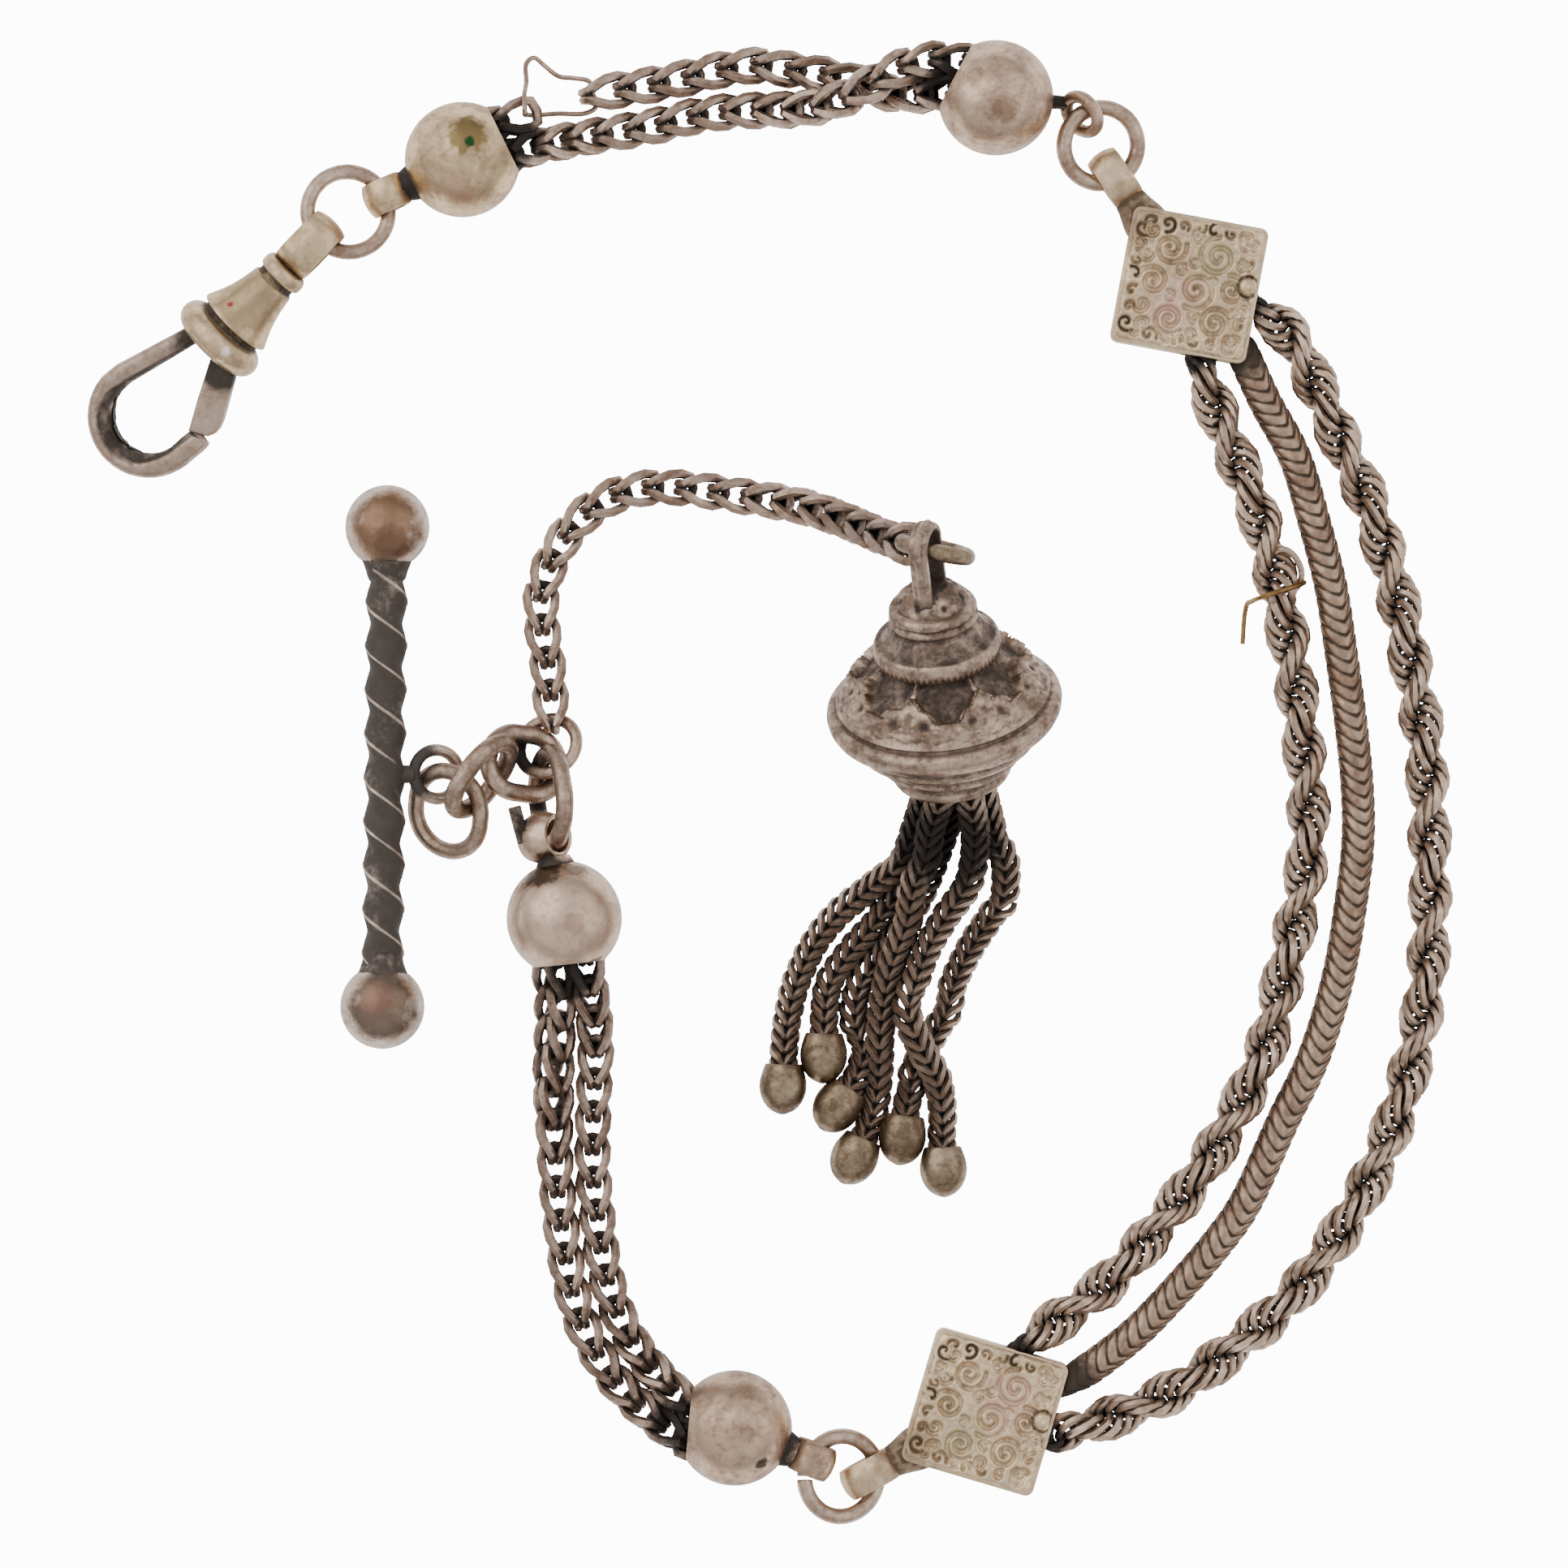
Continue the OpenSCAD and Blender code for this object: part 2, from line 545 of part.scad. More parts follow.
// Swivelling eye: a strap, its foot, and a headed shank inside the body
module clip_eye() color(pale_silver) clip_frame() {
    translate([eye_at, 0, 0]) strap(1.05, 0, strap_w);
    translate([6.35, 0, 0]) rotate([0, 90, 0]) cylinder(h = 1.15, r1 = 1.15, r2 = 0.95, $fn = round_fn);
    translate([2.6, 0, 0]) rotate([0, 90, 0]) cylinder(h = 4.2, r = shank_r, $fn = round_fn);
    translate([2.3, 0, 0]) rotate([0, 90, 0]) cylinder(h = 0.6, r = head_r, $fn = round_fn);
}

// Twisted two-start stem, two balls, an eye and its foot, in one solid
module t_bar() color(dark_silver) {
    turns = (bar_len - 4) / twist_pitch;
    translate([-23.65, 0.95, bar_ball_r]) rotate([0, 0, 89.4]) {
        for (s = [-1, 1]) translate([s * bar_len / 2, 0, 0]) sphere(bar_ball_r, $fn = round_fn);
        rotate([0, 90, 0]) translate([0, 0, -bar_len / 2 + 2])
            linear_extrude(bar_len - 4, twist = 360 * turns, slices = round(turns * 9))
                polygon([
                    for (k = [0 : 7])
                        stem_r * (k % 4 == 0 ? 1 : k % 2 == 0 ? 0.85 : 0.96) * [cos(45 * k), sin(45 * k)]
                ]);
    }
    translate([-23.6, 0.5, bar_ball_r]) rotate([0, 90, 0]) cylinder(h = 1.75, r = 0.55, $fn = round_fn);
    placed([-20.48, 0.5, 1.98], 0, -23.2, -3) ring(1.5, 0.38);
}

// Rings and links, each by its middle, heading, rise and roll
module ring_clip() color(silver)
    placed([-25.86, 35.01, 3.98], -30.5, -4.8, -11.1) ring(clip_ring_r, ring_wire);
module ring_upper() color(silver)
    placed([20.4, 39.19, 2.16], 6.4, -12.5, 7.9) ring(upper_ring_r, heavy_wire);
module ring_lower() color(silver)
    placed([4.42, -42.68, 2.62], -2.4, -24.3, -0.2) difference() {
        ring(lower_ring_r, heavy_wire);
        rotate([0, 0, 183]) translate([lower_ring_r, 0, 0]) cube([1.2, 0.3, 1.2], center = true);
    }
module bar_link_1() color(silver) placed([-19.77, -1.77, 1.91], 85, 21, -28.3) oval(2.32, 0.27, oval_wire);
module bar_link_2() color(silver) placed([-17.7, 0.35, 3.72], 54.1, 5.7, 66.3) oval(2.09, 0.41, oval_wire);
module bar_link_3() color(silver) placed([-15.12, 1.14, 2.16], -8.1, -23.6, -13.1) oval(1.86, 0.53, oval_wire);
module bar_link_4() color(silver) placed([-13.44, -0.94, 3.15], 100.4, -27.4, -65.6) oval(2.24, 0.61, oval_wire);
module pendant_ring() color(silver) placed([-13.63, 2.23, 1.66], 163.2, -26.8, 18.7) ring(1.85, 0.35);
module tassel_ring() color(silver) placed([10.06, 14.14, 11.03], -12.8, 1.2, 95.7) ring(2, tassel_wire);

module repair_wire() color(silver) wire_loop(repair_path, [-13, 42.5, 2], repair_r);

// Brass wire bent over the inner rope chain, with one end lying free
module repair_binding() color(brass) {
    across = [0.976, 0.22, 0];
    arc = [
        for (a = [-30 : 26 : 178])
            [31.27, 11.95, 1.5] + 1.72 * (cos(a) * across + [0, 0, sin(a)]) + [0.1, -0.45, 0] * a / 180
    ];
    tail = [[29.45, 11.0, 1.1], [29.3, 10.2, 0.6], [29.2, 8.55, 0.35]];
    tube(concat(arc, tail), repair_r, repair_r, 6, [0.3, -0.7, 0.6]);
}

module tassel_cap() color(silver) cap_frame() {
    difference() {
        rotate_extrude($fn = 64) polygon([
            [0, -5.05], [2.9, -5.05], [3.3, -4.7], [3.4, -4.3], [3.2, -3.8], [3.5, -3.4], [4.6, -2.4],
            [6.1, -1.2], [6.9, -0.6], [7.15, -0.35], [rim_r, 0], [7.15, 0.3], [6.8, 0.5], [6.55, 0.6],
            [6.6, 0.8], [6.2, 1.5], [5.3, 2.5], [4.5, 3.3], [3.9, 3.9], [3.7, 4.2], [3.85, 4.25],
            [3.85, 5.0], [3.5, 5.1], [3.1, 5.7], [2.6, 6.6], [2.4, 6.85], [2.65, 6.9], [2.65, 7.5],
            [2.0, 7.55], [2.0, 8.2], [1.5, 8.7], [0, 8.7]
        ]);
        translate([0, 0, -6]) cylinder(h = 4.6, r = 2.6, $fn = 64);
    }
    rotate([0, 0, bail_turn]) rotate([90, 0, 0])
        linear_extrude(1.15, center = true) difference() {
            union() {
                translate([0, 12.7]) circle(1.5, $fn = round_fn);
                translate([-1.5, 8.3]) square([3, 4.4]);
            }
            translate([0, 12.7]) circle(0.9, $fn = round_fn);
            translate([0, 9.9]) circle(0.9, $fn = round_fn);
            translate([-0.9, 9.9]) square([1.8, 2.8]);
        }
}

// Frame of the cap: Z runs up its axis
module cap_frame() {
    translate(cap_at) rotate([0, 0, cap_heading]) rotate([0, 90 - cap_slope, 0]) children();
}

// Point inside the cap by its radius and angle about the axis and its place along it
function cap_point(r, angle, t) =
    let (
        down = [sin(cap_slope) * cos(cap_heading), sin(cap_slope) * sin(cap_heading), -cos(cap_slope)],
        left = [-sin(cap_heading), cos(cap_heading), 0],
        axis = [cos(cap_slope) * cos(cap_heading), cos(cap_slope) * sin(cap_heading), sin(cap_slope)]
    )
    cap_at + t * axis + r * (cos(angle) * down + sin(angle) * left);

// Fine strands fused to the plug that holds them in the cap
module tassel_strands() color(silver) {
    for (n = [0 : 5]) {
        start = [for (t = [-3.8, -5.3]) cap_point(1.6, strand_angles[n], t)];
        tube(concat(start, tassel_routes[n]), strand_r, strand_r);
    }
    cap_frame() translate([0, 0, -4.4]) cylinder(h = 1.4, r = 2.45, $fn = round_fn);
}

// Domed tip with a socket for its strand
module tip(n) color(pale_silver) {
    route = tassel_routes[n - 1];
    last = len(route) - 1;
    way = unit(route[last] - route[last - 1]);
    middle = route[last] + 0.55 * way;
    difference() {
        translate([middle.x, middle.y, tip_r]) sphere(tip_r, $fn = 32);
        translate(route[last] + play * way)
            rotate([0, acos(-way.z), atan2(-way.y, -way.x)])
                cylinder(h = 3, r = strand_r + play, $fn = 32);
    }
}

clip_body();
clip_hook();
clip_gate();
clip_gate_pin();
clip_eye();
ring_clip();
ball_clip();
strand_upper_a();
strand_upper_b();
strand_stub();
repair_wire();
ball_upper();
ring_upper();
slide_upper();
rope_inner();
snake_middle();
rope_outer();
repair_binding();
slide_lower();
ring_lower();
ball_lower();
strand_lower_c();
strand_lower_d();
ball_bar();
bar_link_1();
bar_link_2();
bar_link_3();
bar_link_4();
t_bar();
pendant_ring();
pendant_chain();
tassel_ring();
tassel_cap();
tassel_strands();
tip(1);  // tip_1
tip(2);  // tip_2
tip(3);  // tip_3
tip(4);  // tip_4
tip(5);  // tip_5
tip(6);  // tip_6
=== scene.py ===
import math

import bmesh
import bpy
from mathutils import Matrix, Vector, noise
from mathutils.bvhtree import BVHTree
from mathutils.kdtree import KDTree


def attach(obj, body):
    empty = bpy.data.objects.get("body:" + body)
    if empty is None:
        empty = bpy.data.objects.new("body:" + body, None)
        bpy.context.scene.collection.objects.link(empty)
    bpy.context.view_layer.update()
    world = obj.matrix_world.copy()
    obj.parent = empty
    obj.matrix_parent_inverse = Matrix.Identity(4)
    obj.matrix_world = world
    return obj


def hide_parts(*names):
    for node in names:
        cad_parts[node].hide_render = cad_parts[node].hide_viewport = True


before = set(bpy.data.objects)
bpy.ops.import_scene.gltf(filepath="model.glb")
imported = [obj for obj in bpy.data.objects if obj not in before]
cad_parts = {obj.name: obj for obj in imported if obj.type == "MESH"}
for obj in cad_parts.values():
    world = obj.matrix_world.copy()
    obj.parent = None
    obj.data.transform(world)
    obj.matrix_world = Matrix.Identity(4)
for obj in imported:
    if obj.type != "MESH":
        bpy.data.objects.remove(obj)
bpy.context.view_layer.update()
print("frame loaded:", len(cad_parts), "nodes")

mm = 0.001
fullTurn = 2 * math.pi
up = Vector((0, 0, 1))


# Geometry helpers; all shapes are made in millimetres and turned to metres at the end

def along(x, y=0.0, z=0.0):
    return Matrix.Translation((x, y, z))


def headed(degrees):
    return Matrix.Rotation(math.radians(degrees), 4, "Z")


sideways = Matrix.Rotation(math.pi / 2, 4, "Y")  # turns local Z to X


def turnedBy(at, heading, rise, roll):
    raised = Matrix.Rotation(math.radians(-rise), 4, "Y")
    return along(*at) @ headed(heading) @ raised @ Matrix.Rotation(math.radians(roll), 4, "X")


def aimed(at, way):
    # local Z runs along way, local X stays near upright
    z = Vector(way).normalized()
    y = z.cross(up).normalized()
    x = y.cross(z)
    turn = Matrix((x, y, z)).transposed()
    return Matrix.Translation(at) @ turn.to_4x4()


def smoothed(points, parts, closed=False):
    knots = [Vector(p) for p in points]
    count = len(knots)
    dense = []
    for i in range(count if closed else count - 1):
        if closed:
            a, b, c, d = (knots[(i + k) % count] for k in (-1, 0, 1, 2))
        else:
            a, b, c, d = (knots[min(max(i + k, 0), count - 1)] for k in (-1, 0, 1, 2))
        for k in range(parts):
            t = k / parts
            dense.append(
                0.5 * (2 * b + (c - a) * t + (2 * a - 5 * b + 4 * c - d) * t * t
                       + (3 * b - a - 3 * c + d) * t ** 3)
            )
    if not closed:
        dense.append(knots[-1])
    return dense


def stations(points, step):
    # equal steps along a smooth route: (point, way) pairs and the true step
    dense = smoothed(points, 16)
    lengths = [0.0]
    for a, b in zip(dense, dense[1:]):
        lengths.append(lengths[-1] + (b - a).length)
    count = max(1, round(lengths[-1] / step))
    found = []
    k = 0
    for i in range(count + 1):
        goal = lengths[-1] * i / count
        while k < len(dense) - 2 and lengths[k + 1] < goal:
            k += 1
        part = (goal - lengths[k]) / (lengths[k + 1] - lengths[k])
        way = (dense[min(k + 2, len(dense) - 1)] - dense[max(k - 1, 0)]).normalized()
        found.append((dense[k].lerp(dense[k + 1], part), way))
    return found, lengths[-1] / count


def levelFrame(point, way, roll=0.0):
    # X along the chain, Y across it, Z up, rolled about X
    y = up.cross(way).normalized()
    z = way.cross(y)
    turn = Matrix((way, y, z)).transposed().to_4x4()
    return Matrix.Translation(point) @ turn @ Matrix.Rotation(math.radians(roll), 4, "X")


def turned(profile, steps, matrix=Matrix(), closed=False):
    # a profile of (radius, height) pairs spun about the local Z axis
    bm = bmesh.new()
    verts = [bm.verts.new((r, 0, z)) for r, z in profile]
    ends = verts[1:] + (verts[:1] if closed else [])
    edges = [bm.edges.new(pair) for pair in zip(verts, ends)]
    bmesh.ops.spin(bm, geom=verts + edges, cent=(0, 0, 0), axis=(0, 0, 1), angle=fullTurn, steps=steps,
                   use_merge=True)
    bmesh.ops.remove_doubles(bm, verts=bm.verts, dist=1e-4)
    bmesh.ops.recalc_face_normals(bm, faces=bm.faces)
    bm.transform(matrix)
    return bm


def roundRing(radius, wire, steps, matrix):
    angles = [fullTurn * k / 16 for k in range(16)]
    section = [(radius + wire * math.cos(a), wire * math.sin(a)) for a in angles]
    return turned(section, steps, matrix, closed=True)


def block(size, matrix=Matrix(), soft=0.0):
    bm = bmesh.new()
    bmesh.ops.create_cube(bm, size=1, matrix=Matrix.Diagonal((*size, 1)))
    if soft:
        bmesh.ops.bevel(bm, geom=bm.edges, offset=soft, affect="EDGES", segments=3, profile=0.5, material=-1)
    bm.transform(matrix)
    return bm


def cone(r1, r2, height, matrix=Matrix(), segments=32):
    bm = bmesh.new()
    bmesh.ops.create_cone(bm, cap_ends=True, segments=segments, radius1=r1, radius2=r2, depth=height,
                          matrix=matrix @ along(0, 0, height / 2))
    return bm


def closeHoles(bm):
    bmesh.ops.holes_fill(bm, edges=[e for e in bm.edges if e.is_boundary], sides=0)
    bmesh.ops.recalc_face_normals(bm, faces=bm.faces)


def vertsIn(geometry):
    return [v for v in geometry if isinstance(v, bmesh.types.BMVert)]


def marks(bm):
    # the darkness given for each point, from 0 to 1
    return bm.verts.layers.float.get("mark") or bm.verts.layers.float.new("mark")


def darkened(bm, amount):
    mark = marks(bm)
    for vert in bm.verts:
        vert[mark] = amount
    return bm


def toMesh(name, parts):
    whole = bmesh.new()
    marks(whole)
    for part in parts:
        if isinstance(part, bmesh.types.BMesh):
            marks(part)
            piece = bpy.data.meshes.new("part")
            part.to_mesh(piece)
            part.free()
            part = piece
        elif not part.attributes.get("mark"):
            part.attributes.new("mark", "FLOAT", "POINT")
        whole.from_mesh(part)
        bpy.data.meshes.remove(part)
    mesh = bpy.data.meshes.new(name)
    whole.to_mesh(mesh)
    whole.free()
    return mesh


def linked(name, data):
    obj = bpy.data.objects.new(name, data)
    bpy.context.scene.collection.objects.link(obj)
    return obj


def finalMesh(obj):
    return bpy.data.meshes.new_from_object(obj.evaluated_get(bpy.context.evaluated_depsgraph_get()))


def curveMesh(curve):
    holder = linked("wire", curve)
    mesh = finalMesh(holder)
    bpy.data.objects.remove(holder)
    bpy.data.curves.remove(curve)
    return mesh


def addSpline(curve, points, closed, radii=None):
    spline = curve.splines.new("POLY")
    spline.points.add(len(points) - 1)
    for i, point in enumerate(points):
        spline.points[i].co = (*point, 1)
        if radii:
            spline.points[i].radius = radii[i]
    spline.use_cyclic_u = closed


def wires(paths, radius, sides=1, closed=True):
    # round wires along the given paths, as one mesh
    curve = bpy.data.curves.new("wire", "CURVE")
    curve.dimensions = "3D"
    curve.bevel_depth = radius
    curve.bevel_resolution = sides
    curve.use_fill_caps = True
    for path in paths:
        addSpline(curve, path, closed)
    return curveMesh(curve)


def band(path, width, height, matrix=Matrix(), radii=None, power=4, count=48):
    # a bar of rounded square section along a flat path in the local XY plane
    section = bpy.data.curves.new("section", "CURVE")
    section.dimensions = "2D"
    outline = []
    for i in range(count):
        a = fullTurn * i / count
        c, s = math.cos(a), math.sin(a)
        x = math.copysign(abs(c) ** (2 / power), c) * width / 2
        y = math.copysign(abs(s) ** (2 / power), s) * height / 2
        outline.append((x, y, 0))
    addSpline(section, outline, True)
    sectionHolder = bpy.data.objects.new("section", section)
    curve = bpy.data.curves.new("bar", "CURVE")
    curve.dimensions = "3D"
    curve.twist_mode = "Z_UP"
    curve.bevel_mode = "OBJECT"
    curve.bevel_object = sectionHolder
    curve.use_fill_caps = True
    addSpline(curve, [(x, y, 0) for x, y in path], False, radii)
    bm = bmesh.new()
    mesh = curveMesh(curve)
    bm.from_mesh(mesh)
    bpy.data.meshes.remove(mesh)
    bpy.data.objects.remove(sectionHolder)
    bpy.data.curves.remove(section)
    bmesh.ops.remove_doubles(bm, verts=bm.verts, dist=1e-4)
    bmesh.ops.recalc_face_normals(bm, faces=bm.faces)
    bm.transform(matrix)
    return bm


def nodeCopy(node):
    # a merged copy of a CAD node, in millimetres
    bm = bmesh.new()
    bm.from_mesh(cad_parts[node].data)
    bmesh.ops.remove_doubles(bm, verts=bm.verts, dist=2e-6)
    bmesh.ops.dissolve_degenerate(bm, edges=bm.edges, dist=1e-6)
    bm.transform(Matrix.Scale(1 / mm, 4))
    return bm


def skyRays(count):
    # directions spread evenly over the half sphere about local Z
    rays = []
    for i in range(count):
        z = 1 - (i + 0.5) / count * 0.9
        a = i * 2.39996
        r = math.sqrt(1 - z * z)
        rays.append(Vector((r * math.cos(a), r * math.sin(a), z)))
    return rays


def near(point, spots):
    # darkness from a list of (place, radius, amount)
    value = 0.0
    for place, radius, amount in spots:
        distance = (point - Vector(place)).length / radius
        value = max(value, amount * max(0.0, 1 - distance * distance))
    return value


def addShadeAndGrime(mesh, reach, rays, shade):
    # how shut in each point is, from 0 in the open to 1 deep in a crevice; it darkens the colour as painted
    # shade, together with grime
    tree = BVHTree.FromPolygons([v.co for v in mesh.vertices], [p.vertices for p in mesh.polygons])
    directions = skyRays(rays)
    marked = mesh.attributes["mark"]
    values = []
    for vertex in mesh.vertices:
        turn = vertex.normal.to_track_quat("Z", "Y")
        start = vertex.co + vertex.normal * 0.015
        shut = 0.0
        for ray in directions:
            distance = tree.ray_cast(start, turn @ ray, reach)[3]
            if distance is not None:
                shut += 1 - 0.5 * distance / reach
        byHand = max(marked.data[vertex.index].value, shade(vertex.co))
        values.append(min(1.0, max(shut / rays, byHand)))
    mesh.attributes.remove(marked)
    layer = mesh.attributes.new("shadeAndGrime", "FLOAT", "POINT")
    layer.data.foreach_set("value", values)


def makePiece(name, parts, material, node=None, body="chain", reach=1.5, rays=12, dark=(),
              shade=None, sharp=38):
    # one named piece; dark lists its dark places, shade gives darkness by place instead, and both join the
    # ray-cast occlusion as painted shade and grime in the colour
    mesh = toMesh(name, parts)
    addShadeAndGrime(mesh, reach, rays, shade or (lambda p: near(p, dark)))
    mesh.transform(Matrix.Scale(mm, 4))
    mesh.shade_smooth()
    mesh.set_sharp_from_angle(angle=math.radians(sharp))
    mesh.materials.append(material)
    piece = linked(name, mesh)
    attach(piece, body)
    if node:
        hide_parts(node)


# Finishes

def newGroup(name, inputs, outputs):
    group = bpy.data.node_groups.new(name, "ShaderNodeTree")
    for label, kind, value in inputs:
        socket = group.interface.new_socket(label, in_out="INPUT", socket_type=kind)
        socket.default_value = value
    for label, kind in outputs:
        group.interface.new_socket(label, in_out="OUTPUT", socket_type=kind)
    return group, group.nodes.new("NodeGroupInput"), group.nodes.new("NodeGroupOutput")


def noiseNode(tree, coords, scale, detail, rough):
    node = tree.nodes.new("ShaderNodeTexNoise")
    node.inputs["Scale"].default_value = scale
    node.inputs["Detail"].default_value = detail
    node.inputs["Roughness"].default_value = rough
    tree.links.new(coords, node.inputs["Vector"])
    return node.outputs["Fac"]


def spread(tree, value, low, high, toLow=0.0, toHigh=1.0):
    node = tree.nodes.new("ShaderNodeMapRange")
    node.interpolation_type = "SMOOTHSTEP"
    for label, number in (("From Min", low), ("From Max", high), ("To Min", toLow), ("To Max", toHigh)):
        node.inputs[label].default_value = number
    tree.links.new(value, node.inputs["Value"])
    return node.outputs["Result"]


def feed(tree, socket, value):
    # links an output, or sets a number or a colour
    if isinstance(value, bpy.types.NodeSocket):
        tree.links.new(value, socket)
    else:
        socket.default_value = (*value, 1) if isinstance(value, tuple) else value


def maths(tree, operation, a, b):
    node = tree.nodes.new("ShaderNodeMath")
    node.operation = operation
    feed(tree, node.inputs[0], a)
    feed(tree, node.inputs[1], b)
    return node.outputs[0]


def blended(tree, factor, a, b):
    node = tree.nodes.new("ShaderNodeMix")
    node.data_type = "RGBA"
    for place, value in ((0, factor), (6, a), (7, b)):
        feed(tree, node.inputs[place], value)
    return node.outputs[2]


def makeTarnishShadeGroup():
    group, given, made = newGroup(
        "Tarnish",
        [("Clean", "NodeSocketColor", (0.6, 0.5, 0.4, 1)),
         ("Tarnish", "NodeSocketColor", (0.3, 0.25, 0.2, 1)),
         ("Shade and grime", "NodeSocketColor", (0.03, 0.02, 0.02, 1)), ("Shut in", "NodeSocketFloat", 0.0),
         ("Patch scale", "NodeSocketFloat", 300.0), ("Patches", "NodeSocketFloat", 0.5)],
        [("Color", "NodeSocketColor"), ("Metal", "NodeSocketFloat"),
         ("Roughness", "NodeSocketFloat"), ("Height", "NodeSocketFloat")],
    )
    coords = group.nodes.new("ShaderNodeTexCoord").outputs["Object"]
    patches = group.nodes.new("ShaderNodeTexNoise")
    patches.inputs["Detail"].default_value = 5
    patches.inputs["Roughness"].default_value = 0.62
    group.links.new(coords, patches.inputs["Vector"])
    group.links.new(given.outputs["Patch scale"], patches.inputs["Scale"])
    fine = noiseNode(group, coords, 2600, 3, 0.6)
    # patches of tarnish, then small specks, then painted shade and grime where a point is shut in
    mottle = maths(group, "ADD", spread(group, patches.outputs["Fac"], 0.36, 0.68),
                   spread(group, fine, 0.44, 0.64, 0.0, 0.4))
    mottle = maths(group, "MULTIPLY", mottle, given.outputs["Patches"])
    colour = blended(group, mottle, given.outputs["Clean"], given.outputs["Tarnish"])
    specks = spread(group, noiseNode(group, coords, 1500, 2, 0.5), 0.62, 0.72, 0.0, 0.7)
    specks = maths(group, "MULTIPLY", specks, given.outputs["Patches"])
    colour = blended(group, specks, colour, given.outputs["Tarnish"])
    # uneven strength of the painted shade and grime in crevices
    worn = maths(group, "ADD", maths(group, "MULTIPLY", fine, 0.7), 0.65)
    crevice = spread(group, maths(group, "MULTIPLY", given.outputs["Shut in"], worn), 0.15, 0.62)
    colour = blended(group, crevice, colour, given.outputs["Shade and grime"])
    group.links.new(colour, made.inputs["Color"])
    group.links.new(spread(group, crevice, 0.0, 1.0, 1.0, 0.35), made.inputs["Metal"])
    rough = maths(group, "ADD", maths(group, "MULTIPLY", fine, 0.22), 0.2)
    for layer, share in ((mottle, 0.16), (crevice, 0.3)):
        rough = maths(group, "ADD", rough, maths(group, "MULTIPLY", layer, share))
    group.links.new(rough, made.inputs["Roughness"])
    pits = spread(group, noiseNode(group, coords, 1900, 3, 0.6), 0.5, 0.75, 0.0, -0.7)
    group.links.new(maths(group, "ADD", maths(group, "MULTIPLY", fine, 0.6), pits), made.inputs["Height"])
    return group


def makeSpotGroup():
    group, given, made = newGroup(
        "Spot",
        [("Centre", "NodeSocketVector", (0, 0, 0)), ("Size", "NodeSocketFloat", 0.001),
         ("Ragged", "NodeSocketFloat", 1.5)],
        [("Mask", "NodeSocketFloat")],
    )
    coords = group.nodes.new("ShaderNodeTexCoord").outputs["Object"]
    offset, scaled, distance = (group.nodes.new("ShaderNodeVectorMath") for _ in range(3))
    offset.operation = "SUBTRACT"
    group.links.new(coords, offset.inputs[0])
    group.links.new(given.outputs["Centre"], offset.inputs[1])
    scaled.operation = "SCALE"
    group.links.new(offset.outputs["Vector"], scaled.inputs[0])
    group.links.new(maths(group, "DIVIDE", 1.0, given.outputs["Size"]), scaled.inputs["Scale"])
    distance.operation = "LENGTH"
    group.links.new(scaled.outputs["Vector"], distance.inputs[0])
    ragged = maths(group, "SUBTRACT", noiseNode(group, scaled.outputs["Vector"], 2.2, 5, 0.65), 0.5)
    ragged = maths(group, "MULTIPLY", ragged, given.outputs["Ragged"])
    share = maths(group, "ADD", distance.outputs["Value"], ragged)
    group.links.new(spread(group, share, 0.6, 1.05, 1.0, 0.0), made.inputs["Mask"])
    return group


tarnishShadeGroup = makeTarnishShadeGroup()
spotGroup = makeSpotGroup()

finishValues = {"bumpDistance": 0.00003, "bumpStrength": 0.35, "patchScale": 560.0, "patches": 0.55}
tarnishTone = (0.29, 0.185, 0.13)
brownStain = (0.16, 0.09, 0.05)
# colours of the painted shade and grime in crevices
blackShadeGrime = (0.022, 0.014, 0.01)
brownShadeGrime = (0.048, 0.032, 0.02)


def makeMetal(name, clean, tarnish=tarnishTone, shadeAndGrime=blackShadeGrime, scale=finishValues["patchScale"],
              patches=finishValues["patches"], spots=()):
    # spots are stains, a painted highlight on the clip and painted shadow on the bar ball: centre, radius,
    # tone and strength
    material = bpy.data.materials.new(name)
    material.use_nodes = True
    tree = material.node_tree
    shader = tree.nodes["Principled BSDF"]
    group = tree.nodes.new("ShaderNodeGroup")
    group.node_tree = tarnishShadeGroup
    for label, value in (("Clean", clean), ("Tarnish", tarnish), ("Shade and grime", shadeAndGrime), ("Patch scale", scale),
                         ("Patches", patches)):
        feed(tree, group.inputs[label], value)
    shut = tree.nodes.new("ShaderNodeAttribute")
    shut.attribute_name = "shadeAndGrime"
    tree.links.new(shut.outputs["Fac"], group.inputs["Shut in"])
    colour = group.outputs["Color"]
    for centre, size, tone, amount in spots:
        spot = tree.nodes.new("ShaderNodeGroup")
        spot.node_tree = spotGroup
        spot.inputs["Centre"].default_value = [c * mm for c in centre]
        spot.inputs["Size"].default_value = size * mm
        colour = blended(tree, maths(tree, "MULTIPLY", spot.outputs["Mask"], amount), colour, tone)
    bumps = tree.nodes.new("ShaderNodeBump")
    bumps.inputs["Strength"].default_value = finishValues["bumpStrength"]
    bumps.inputs["Distance"].default_value = finishValues["bumpDistance"]
    tree.links.new(group.outputs["Height"], bumps.inputs["Height"])
    for output, label in ((colour, "Base Color"), (group.outputs["Metal"], "Metallic"),
                          (group.outputs["Roughness"], "Roughness"), (bumps.outputs["Normal"], "Normal")):
        tree.links.new(output, shader.inputs[label])
    return material


ringMetal = makeMetal("ringSilver", (0.56, 0.425, 0.335), patches=0.8)
linkMetal = makeMetal("linkSilver", (0.54, 0.4, 0.31), (0.24, 0.165, 0.12), patches=0.8)
tipMetal = makeMetal("tipSilver", (0.34, 0.255, 0.175), (0.14, 0.095, 0.06), patches=0.9)
print("finishes made")


# Rings and links keep their CAD shape, merged and smooth

